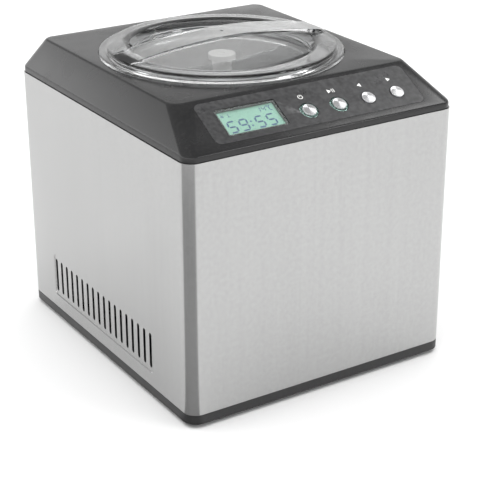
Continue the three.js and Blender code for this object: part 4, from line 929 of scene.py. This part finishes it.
    def digit(self, value: int, corner: tuple[float, float], size: tuple[float, float],
              thick: float) -> BMesh:
        """Makes one seven-segment digit.

        Args:
            value: The digit.
            corner: Its lower left corner on the slope.
            size: Its width and height.
            thick: Width of a segment.

        Returns:
            The lit segments.
        """
        lit = {0: "abcdef", 1: "bc", 4: "bcfg", 5: "acdfg", 9: "abcdfg"}[value]
        (x, y), (w, h) = corner, size
        trim = thick * 0.3
        ends = {"a": ((x, y + h), (x + w, y + h)), "b": ((x + w, y + h), (x + w, y + h / 2)),
                "c": ((x + w, y + h / 2), (x + w, y)), "d": ((x, y), (x + w, y)),
                "e": ((x, y + h / 2), (x, y)), "f": ((x, y + h), (x, y + h / 2)),
                "g": ((x, y + h / 2), (x + w, y + h / 2))}
        bars = []
        for key in lit:
            (x0, y0), (x1, y1) = ends[key]
            reach = Vector((x1 - x0, y1 - y0)).normalized() * trim
            bars.append(self.bar((x0 + reach.x, y0 + reach.y), (x1 - reach.x, y1 - reach.y), thick))
        slant = Matrix.Shear("XY", 4, (0.0, 0.0))
        slant[0][1] = 0.09
        origin = Matrix.Translation((x, y, 0))
        return moved(gather(bars), origin @ slant @ origin.inverted())

    def clock(self) -> BMesh:
        """Makes the large time, two pairs of digits and a colon."""
        width, height, thick, pitch, colon_gap, dot = 6.8, 11.6, 1.6, 11.0, 4.4, 1.5
        left = self.screen_middle - self.screen_size[0] / 2 + 5.6
        base = -self.screen_top - self.screen_size[1] + 4.4
        parts = []
        for index, value in enumerate((5, 9, 5, 5)):
            shift = colon_gap if index > 1 else 0.0
            parts.append(self.digit(value, (left + index * pitch + shift, base), (width, height), thick))
        colon = left + 2 * pitch - 0.4
        for rise in (0.3, 0.7):
            parts.append(block(dot, dot, 0.0, self.ink, middle=(colon + rise, base + rise * height)))
        return gather(parts)

    def thermometer(self) -> BMesh:
        """Makes the small temperature in the upper right corner."""
        width, height, thick, pitch = 3.0, 5.2, 0.9, 5.0
        left = self.screen_middle + self.screen_size[0] / 2 - 18.5
        base = -self.screen_top - 8.4
        parts = [self.digit(value, (left + index * pitch, base), (width, height), thick)
                 for index, value in enumerate((1, 4))]
        mark = left + 10.6
        parts.append(printed_ring(0.4, 0.9, self.ink, 16, (mark, base + height - 0.3)))
        parts += [self.bar((mark + 1.6, base + rise), (mark + 3.6, base + rise), thick)
                  for rise in (0.0, height)]
        parts.append(self.bar((mark + 1.5, base + 0.2), (mark + 1.5, base + height - 0.2), thick))
        return gather(parts)

    def marks(self) -> BMesh:
        """Makes the two small signs in the upper left corner: a cold star and a paddle."""
        left = self.screen_middle - self.screen_size[0] / 2 + 6.0
        level = -self.screen_top - 5.6
        star, fine, stem, blade = 1.7, 0.45, 1.8, 1.2
        parts = []
        for turn in range(3):
            reach = Vector((math.cos(turn * TURN / 6), math.sin(turn * TURN / 6))) * star
            parts.append(self.bar((left - reach.x, level - reach.y), (left + reach.x, level + reach.y), fine))
        paddle = left + 6.0
        parts.append(self.bar((paddle, level - stem), (paddle, level + stem), fine))
        parts.append(self.bar((paddle - blade, level - 1.4), (paddle + blade, level - 1.4), 0.5))
        return gather(parts)

    def icon(self, sign: Icon, x: float) -> BMesh:
        """Makes the printed sign over one button."""
        y, thick = -self.icon_drop, 0.62
        if sign is Icon.POWER:
            ring = printed_ring(1.8, 2.4, self.ink, 40, (x, y))
            gate = block(1.7, 3.0, -1.0, 1.0, middle=(x, y + 2.2))
            return gather([combine(ring, gate, Combine.CUT), self.bar((x, y), (x, y + 2.6), thick)])
        if sign is Icon.START_PAUSE:
            bars = [self.bar((x + step, y - 2.2), (x + step, y + 2.2), thick) for step in (2.0, 3.7)]
            return gather([self.arrow(x - 1.5, y, 1), *bars])
        return self.arrow(x, y, -1 if sign is Icon.TIME_DOWN else 1)

    def arrow(self, x: float, y: float, way: int) -> BMesh:
        """Makes a small printed triangle that points along x."""
        turn = Matrix.Rotation(math.radians(30 * way), 4, "Z")
        place = Matrix.Translation((x, y, self.ink / 2))
        return moved(prism(3, 2.5, self.ink), place @ turn)


# ------------------------------------------------------------------ lid, bowl and paddle
@dataclass
class LidAndBowl:
    """The clear lid with its arched handle, the lift-out bowl, the paddle and the pot round the bowl."""

    axis_y: float = 11.6
    cover_top: float = 270.3
    seat_level: float = 268.3
    lid_radius: float = 110.0
    rim_width: float = 5.8
    rim_height: float = 2.0
    flange_height: float = 6.0
    flange_inset: float = 7.0
    flange_width: float = 19.0
    wall: float = 1.7
    floor_drop: float = 1.9
    skirt: float = 9.0
    handle_width: float = 34.0
    handle_rise: float = 10.4
    handle_thickness: float = 3.2
    handle_edge: float = 0.6
    bowl_radius: float = 82.0
    bowl_wall: float = 1.5
    bowl_floor: float = 153.7
    bowl_rim: float = 265.7
    bowl_corner: float = 6.5
    rim_radius: float = 95.0
    tube_radius: float = 10.5
    tube_top: float = 177.7
    gap: float = 0.3

    def build(self) -> None:
        """Builds and dresses the lid, the bowl, the paddle and the pot."""
        finish_piece("lid_dome", self.lid(), "lid", Finishes.clear, ("lid",))
        finish_piece("lid_handle_band", self.handle(), "lid", Finishes.clear,
                     ("lid_handle",), 0.5, 50.0, 3)
        finish_piece("bowl_shell", self.bowl(), "bowl", Finishes.bowl, ("bowl",))
        finish_piece("paddle_moulding", self.paddle(), "paddle", Finishes.white, ("paddle",),
                     0.5, 50.0)
        finish_piece("cooling_pot_shell", self.pot(), MACHINE, Finishes.pot, ("cooling_pot",))

    def on_axis(self, body: BMesh) -> BMesh:
        """Moves a body from the origin to the bowl's axis."""
        return moved(body, Matrix.Translation((0, self.axis_y, 0)))

    def lid(self) -> BMesh:
        """Makes the lid: floor, well, raised flange, rim and the skirt inside the bowl."""
        top, flange = self.cover_top, self.cover_top + self.flange_height
        rim_inner = self.lid_radius - self.rim_width
        flange_outer = self.lid_radius - self.flange_inset
        flange_inner = flange_outer - self.flange_width
        step = flange_inner - 3.0
        floor, skirt = step - 2.0, self.bowl_radius - 2.5
        floor_top = top - self.floor_drop
        under, seat = floor_top - self.wall, self.seat_level + self.gap
        rim = top + self.rim_height
        profile = [
            (0, floor_top), (floor, floor_top), (floor + 0.6, top - 0.2), (floor + 1.0, top),
            (step - 0.4, top),
            (step, top + 0.4), (flange_inner - 0.6, flange - 0.9), (flange_inner, flange - 0.25),
            (flange_inner + 1.0, flange), *rounding(flange_outer - 1.2, flange - 1.2, 1.2, 90, 8, 5),
            (flange_outer + 0.4, rim + 0.4), (flange_outer + 0.9, rim),
            *rounding(self.lid_radius - 0.8, rim - 0.8, 0.8, 90, 0), (self.lid_radius, seat + 0.3),
            (self.lid_radius - 0.3, seat), (rim_inner - 1, seat), (rim_inner - 1, flange - self.wall),
            (flange_inner + 1.6, flange - self.wall), (step + 1.3, under), (skirt, under),
            (skirt, under - self.skirt + 0.4), (skirt - 0.4, under - self.skirt),
            (skirt - self.wall, under - self.skirt), (skirt - self.wall, under), (0, under)]
        return turned(profile, 180, middle=(0.0, self.axis_y))

    def handle(self) -> BMesh:
        """Makes the arched band over the well, its ends trimmed round with the flange."""
        reach = self.lid_radius - self.flange_inset
        base = self.cover_top + self.flange_height + self.gap
        steps = 48
        body = bmesh.new()
        bmesh.ops.create_grid(body, x_segments=steps, y_segments=1, size=1.0)
        for vert in body.verts:
            x = vert.co.x * reach
            crown = base + self.handle_edge + self.handle_rise * (1 - (x / reach) ** 2)
            vert.co = Vector((x, vert.co.y * self.handle_width / 2, crown))
        sheet = bmesh.ops.extrude_face_region(body, geom=body.faces[:])["geom"]
        bmesh.ops.translate(body, vec=(0, 0, -self.handle_thickness), verts=verts_of(sheet))
        bmesh.ops.recalc_face_normals(body, faces=body.faces)
        trim = rod(reach, base, base + 3 * self.handle_rise, sides=160)
        body = combine(body, trim, Combine.KEEP_SHARED)
        crown = base + self.handle_edge + self.handle_rise
        dimple = turned([(0, crown - 0.7), (1.3, crown - 0.5), (1.9, crown + 1.0), (0, crown + 1.0)], 32)
        body = combine(body, dimple, Combine.CUT)
        return self.on_axis(body)

    def bowl(self) -> BMesh:
        """Makes the drawn bowl with its rolled rim and centre tube."""
        r, wall, corner = self.bowl_radius, self.bowl_wall, self.bowl_corner
        low, rim, tube = self.bowl_floor - wall, self.bowl_rim, self.tube_radius
        profile = [
            (7.5, self.tube_top), (7.5, self.tube_top - wall), (tube - wall, self.tube_top - wall),
            (tube - wall, low), *rounding(r - corner, self.bowl_floor + corner, corner + wall, -90, 0, 8),
            (r + wall, rim - wall), (self.rim_radius - 0.5, rim - wall),
            *rounding(self.rim_radius - wall / 2, rim - wall / 2, wall / 2, -80, 90, 4),
            *rounding(r + 1.2, rim - 1.2, 1.2, 90, 180, 4),
            *rounding(r - corner, self.bowl_floor + corner, corner, 0, -90, 8),
            (tube + 1.5, self.bowl_floor), (tube, self.bowl_floor + 1.5), (tube, self.tube_top - 0.8),
            (tube - 0.8, self.tube_top)]
        return turned(profile, 160, True, (0.0, self.axis_y))

    def pot(self) -> BMesh:
        """Makes the cooling pot round the bowl."""
        low, high = (value.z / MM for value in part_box("cooling_pot"))
        inner, wall, hole, flange = 84.3, 1.5, self.tube_radius, 101.0
        corner_r, corner_z = self.bowl_radius - self.bowl_corner, self.bowl_floor + self.bowl_corner
        turn = self.bowl_corner + 2.3
        profile = [
            (hole, low), *rounding(corner_r, corner_z, turn + wall, -90, 0, 8), (inner + wall, high - wall),
            (flange - 0.6, high - wall), (flange, high - 0.9), (flange - 0.4, high), (inner + 0.8, high),
            (inner, high - 0.8), *rounding(corner_r, corner_z, turn, 0, -90, 8), (hole, low + wall)]
        profile = [(min(radius, flange - 0.6), height) for radius, height in profile]
        return turned(profile, 160, True, (0.0, self.axis_y))

    def paddle(self) -> BMesh:
        """Makes the paddle: two open frames on a round hub, stem and cap."""
        cap_top = self.cover_top - self.floor_drop - self.wall - 0.7
        hub_low, hub_high = self.bowl_floor + 1.5, self.tube_top + 1.0
        inner, outer, stem = self.tube_radius + 1.0, self.tube_radius + 3.0, 8.75
        cap, cap_low, soft, dent = 12.5, cap_top - 5, 0.9, 0.8
        grip, grip_depth = 6.3, 16.0
        hub = turned([
            (0, hub_high), (inner, hub_high), (inner, hub_low), (outer - 0.4, hub_low),
            (outer, hub_low + 0.4),
            (outer, hub_high + 3), (stem, hub_high + 12), (stem, cap_low), (cap, cap_low),
            *rounding(cap - soft, cap_top - soft, soft, 0, 90, 4), (3.2, cap_top), (2.6, cap_top - dent),
            (0, cap_top - dent)], 72)
        frames = combine(self.blades(hub_low, hub_high), rod(inner + 0.5, hub_low - 1, hub_high, sides=48),
                         Combine.CUT)
        body = combine(hub, frames, Combine.JOIN)
        socket = moved(prism(6, grip, grip_depth), Matrix.Translation((0, 0, hub_high + grip_depth / 2 - 1)))
        body = combine(body, socket, Combine.CUT)
        return self.on_axis(body)

    def blades(self, low: float, hub_high: float) -> BMesh:
        """Makes the paddle's flat frame: an outline pulled to its thickness, with two windows."""
        reach, thick, top, stem = self.bowl_radius - 1.6, 4.0, low + 74.0, 7.75
        side, bar, shoulder, window_start = 9, 12, 18, 17.5
        half = [(reach - self.bowl_corner, low), (reach, low + self.bowl_corner), (reach, top),
                (reach - side, top), (stem, top - shoulder)]
        outline = half + [(-x, z) for x, z in reversed(half)]
        window = [(window_start, low + bar), (reach - side, low + bar), (reach - side, top - bar),
                  (window_start, top - shoulder - 10)]
        body = self.plate(outline, thick)
        body = combine(body, self.plate(window, 3 * thick), Combine.CUT)
        return combine(body, self.plate([(-x, z) for x, z in window], 3 * thick), Combine.CUT)

    def plate(self, outline: Profile, thick: float) -> BMesh:
        """Makes a plate from an (x, z) outline, as thick as asked along Y."""
        body = bmesh.new()
        face = body.faces.new([body.verts.new((x, -thick / 2, z)) for x, z in outline])
        grown = bmesh.ops.extrude_face_region(body, geom=[face])["geom"]
        bmesh.ops.translate(body, vec=(0, thick, 0), verts=verts_of(grown))
        bmesh.ops.recalc_face_normals(body, faces=body.faces)
        return body


# ------------------------------------------------------------------ back panel and fasteners
@dataclass
class Back:
    """The vented back panel, the mains inlet and the screws that hold the machine together."""

    head_radius: float = 3.1
    head_height: float = 1.7
    shank_radius: float = 1.5
    thread_pitch: float = 1.2

    def build(self) -> None:
        """Builds and dresses the back panel, the inlet and every screw."""
        finish_piece("back_panel_moulding", from_node("rear_panel"), MACHINE, Finishes.base,
                     ("rear_panel",), 0.35, 40.0)
        finish_piece("mains_inlet_moulding", from_node("mains_inlet"), MACHINE,
                     Finishes.cover, ("mains_inlet",), 0.3, 40.0)
        for index in range(1, 5):
            self.place(f"rear_screw_{index}", Axis.BACK)
            self.place(f"base_screw_{index}", Axis.DOWN)

    def place(self, node: str, axis: Axis) -> None:
        """Builds one screw where its node is, with its head towards the axis."""
        low, high = (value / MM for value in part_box(node))
        middle, toward = (low + high) / 2, Vector(axis.value)
        length = (high - low).dot(Vector(map(abs, axis.value)))
        head = middle + toward * length / 2
        turn = Vector((0, 0, 1)).rotation_difference(toward).to_matrix().to_4x4()
        body = moved(self.screw(length), Matrix.Translation(head) @ turn)
        finish_piece(node + "_pan_head", body, MACHINE, Finishes.zinc, (node,))

    def screw(self, length: float) -> BMesh:
        """Makes a cross-recessed screw whose head's crown is at the origin."""
        r, h = self.head_radius, self.head_height
        turns = int((length - h - 2) / self.thread_pitch)
        thread: Profile = []
        for i in range(turns):
            z = -h - 1 - i * self.thread_pitch
            thread += [(self.shank_radius, z), (self.shank_radius - 0.35, z - self.thread_pitch / 2)]
        profile = [(0, 0), (r * 0.55, -0.12), (r - 0.35, -0.6), (r, -1.1), (r, -h), (self.shank_radius, -h),
                   *thread, (0, -length)]
        body = turned(profile, 24)
        for wide, deep in ((3.2, 0.75), (0.75, 3.2)):
            body = combine(body, block(wide, deep, -0.9, 1.0), Combine.CUT)
        return body


# ------------------------------------------------------------------ pieces inside the housing
@dataclass
class Works:
    """The cooling circuit, the drive and the boards, which keep their frame shapes."""

    finishes: dict[str, Finish] = field(default_factory=lambda: {
        "control_board": Finishes.board, "power_board": Finishes.board, "evaporator_coil": Finishes.copper,
        "foam_insulation": Finishes.foam, "shaft_bearing": Finishes.nylon, "shaft_seal": Finishes.rubber,
        "drive_gear": Finishes.nylon, "motor_pinion": Finishes.zinc, "gearbox_housing": Finishes.base,
        "gearbox_cover": Finishes.base, "drive_motor": Finishes.enamel, "pot_deck": Finishes.zinc,
        "compressor": Finishes.enamel, "condenser": Finishes.fins, "fan_frame": Finishes.base,
        "fan_impeller": Finishes.base, "filter_drier": Finishes.copper, "suction_pipe": Finishes.copper,
        "discharge_pipe": Finishes.copper, "capillary_tube": Finishes.copper})
    grommets: int = 4
    shaft_sides: int = 48

    def build(self) -> None:
        """Dresses every carried-over node and turns a rounder drive shaft."""
        for index in range(1, self.grommets + 1):
            self.finishes[f"compressor_grommet_{index}"] = Finishes.rubber
        for node, finish in self.finishes.items():
            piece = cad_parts[node]
            material = finish.material()
            if piece.material_slots:
                for slot in piece.material_slots:
                    slot.material = material
            else:
                piece.data.materials.append(material)
            LOG.info("%s: dressed in %s", node, finish.name)
        finish_piece("drive_shaft_steel", self.shaft(), "drive_shaft", Finishes.zinc,
                     ("drive_shaft",))

    def shaft(self) -> BMesh:
        """Makes the drive shaft: round below, with a chamfered hexagon at its top."""
        low, high = (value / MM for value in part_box("drive_shaft"))
        radius, grip = (high.x - low.x) / 2, 13.0
        middle = (0.0, (low.y + high.y) / 2)
        round_part = turned([(0, low.z), (radius - 0.5, low.z), (radius, low.z + 0.5),
                             (radius, high.z - grip),
                             (radius, high.z - 1.5), (radius - 1.5, high.z), (0, high.z)], self.shaft_sides,
                            middle=middle)
        over = 0.2
        hexagon = moved(prism(6, radius, grip + over),
                        Matrix.Translation((*middle, high.z - (grip - over) / 2)))
        lower = rod(radius + 1, low.z - 1, high.z - grip, middle, 32)
        keep = combine(hexagon, lower, Combine.JOIN)
        return combine(round_part, keep, Combine.KEEP_SHARED)


# ------------------------------------------------------------------ studio
@dataclass
class Studio:
    """The plain pale floor, the lights and the camera."""

    camera_place: Color = (-654.7, -1055.5, 628.2)
    azimuth: float = -32.69
    elevation: float = 23.92
    lens: float = 103.3
    sensor: float = 36.0
    floor_half: float = 9.0
    # each range of the view's direction, and the room's light at its two ends
    room_by_height: tuple[float, ...] = (0.18, 0.42, 1.35, 0.4)
    room_by_side: tuple[float, ...] = (-0.7, 0.6, 1.7, 0.8)

    def build(self) -> None:
        """Builds the floor, the world, the lights and the camera."""
        bpy.context.scene.view_settings.view_transform = "Standard"
        self.floor()
        self.world()
        self.light("overhead_softbox", (-0.1, 0.1, 2.4), (-0.1, 0.1, 0), (4.4, 4.4), 104.0, glossy=False)
        self.light("upper_right_softbox", (1.5, -0.2, 1.75), (0, -0.1, 0.26), (0.5, 0.8), 6.2)
        self.light("front_right_key", (1.25, -1.95, 1.35), (0, -0.14, 0.24), (0.6, 0.6), 7.0)
        self.flag("corner_flag", (-0.122, -0.141, 0.004), 0.75, 158.0, 264.0)
        self.camera()

    def floor(self) -> None:
        """Lays the floor, a large plate just under the feet."""
        body = bmesh.new()
        bmesh.ops.create_grid(body, x_segments=2, y_segments=2, size=self.floor_half / MM)
        bmesh.ops.scale(body, vec=(MM,) * 3, verts=body.verts)
        piece = new_object("studio_floor", body)
        piece.data.materials.append(Finishes.floor.material())

    def world(self) -> None:
        """Makes the room's light: bright near the horizon and dim overhead."""
        world = bpy.data.worlds.new("studio_world")
        bpy.context.scene.world = world
        world.use_nodes = True
        world.node_tree.nodes.clear()
        graph = Graph(world.node_tree)
        way = graph.add("SeparateXYZ", None, {0: graph.add("TexCoord").outputs["Generated"]})
        across, up = way.outputs[0], way.outputs[2]
        strength = graph.math("MULTIPLY", graph.remap(up, *self.room_by_height),
                              graph.remap(across, *self.room_by_side))
        shade = graph.add("Background", None, {"Color": (1.0, 1.0, 1.0, 1.0), "Strength": strength})
        graph.add("OutputWorld", None, {"Surface": shade.outputs[0]})

    def aim(self, place: Color, target: Color) -> Matrix:
        """Gives the placement that looks from one point at another."""
        way = Vector(target) - Vector(place)
        return Matrix.Translation(place) @ way.to_track_quat("-Z", "Y").to_matrix().to_4x4()

    def light(self, name: str, place: Color, target: Color, size: tuple[float, float], power: float,
              glossy: bool = True) -> None:
        """Hangs one soft rectangular light, in metres and watts."""
        data = bpy.data.lights.new(name, "AREA")
        data.shape = "RECTANGLE"
        data.size, data.size_y = size
        data.energy = power
        lamp = bpy.data.objects.new(name, data)
        lamp.matrix_world = self.aim(place, target)
        lamp.visible_glossy = glossy
        bpy.context.scene.collection.objects.link(lamp)

    def flag(self, name: str, apex: Color, reach: float, first: float, last: float) -> None:
        """Lays a grey fan that only gloss sees, from its apex out between two angles."""
        body = bmesh.new()
        steps = 24
        angles = [math.radians(first + (last - first) * index / steps) for index in range(steps + 1)]
        rim = [body.verts.new((math.cos(angle) * reach, math.sin(angle) * reach, 0.0)) for angle in angles]
        body.faces.new([body.verts.new((0.0, 0.0, 0.0)), *rim])
        piece = new_object(name, moved(body, Matrix.Translation(apex)))
        piece.data.materials.append(Finishes.flag.material())
        piece.visible_camera = piece.visible_diffuse = piece.visible_shadow = False
        piece.visible_transmission = False

    def camera(self) -> None:
        """Sets the camera up."""
        data = bpy.data.cameras.new("camera")
        data.lens = self.lens
        data.sensor_width = self.sensor
        data.clip_end = 60.0
        camera = bpy.data.objects.new("camera", data)
        turn = Matrix.Rotation(math.radians(self.azimuth), 4, "Z")
        tilt = Matrix.Rotation(math.radians(90 - self.elevation), 4, "X")
        camera.matrix_world = Matrix.Translation(Vector(self.camera_place) * MM) @ turn @ tilt
        bpy.context.scene.collection.objects.link(camera)
        bpy.context.scene.camera = camera


def main() -> None:
    """Builds the studio and every sub-assembly, in order."""
    logging.basicConfig(level=logging.INFO, format="%(name)s: %(message)s")
    for part in (Studio(), Housing(), Cover(), LidAndBowl(), Back(), Works()):
        LOG.info("building %s", type(part).__name__)
        part.build()


if __name__ == "__main__":
    main()
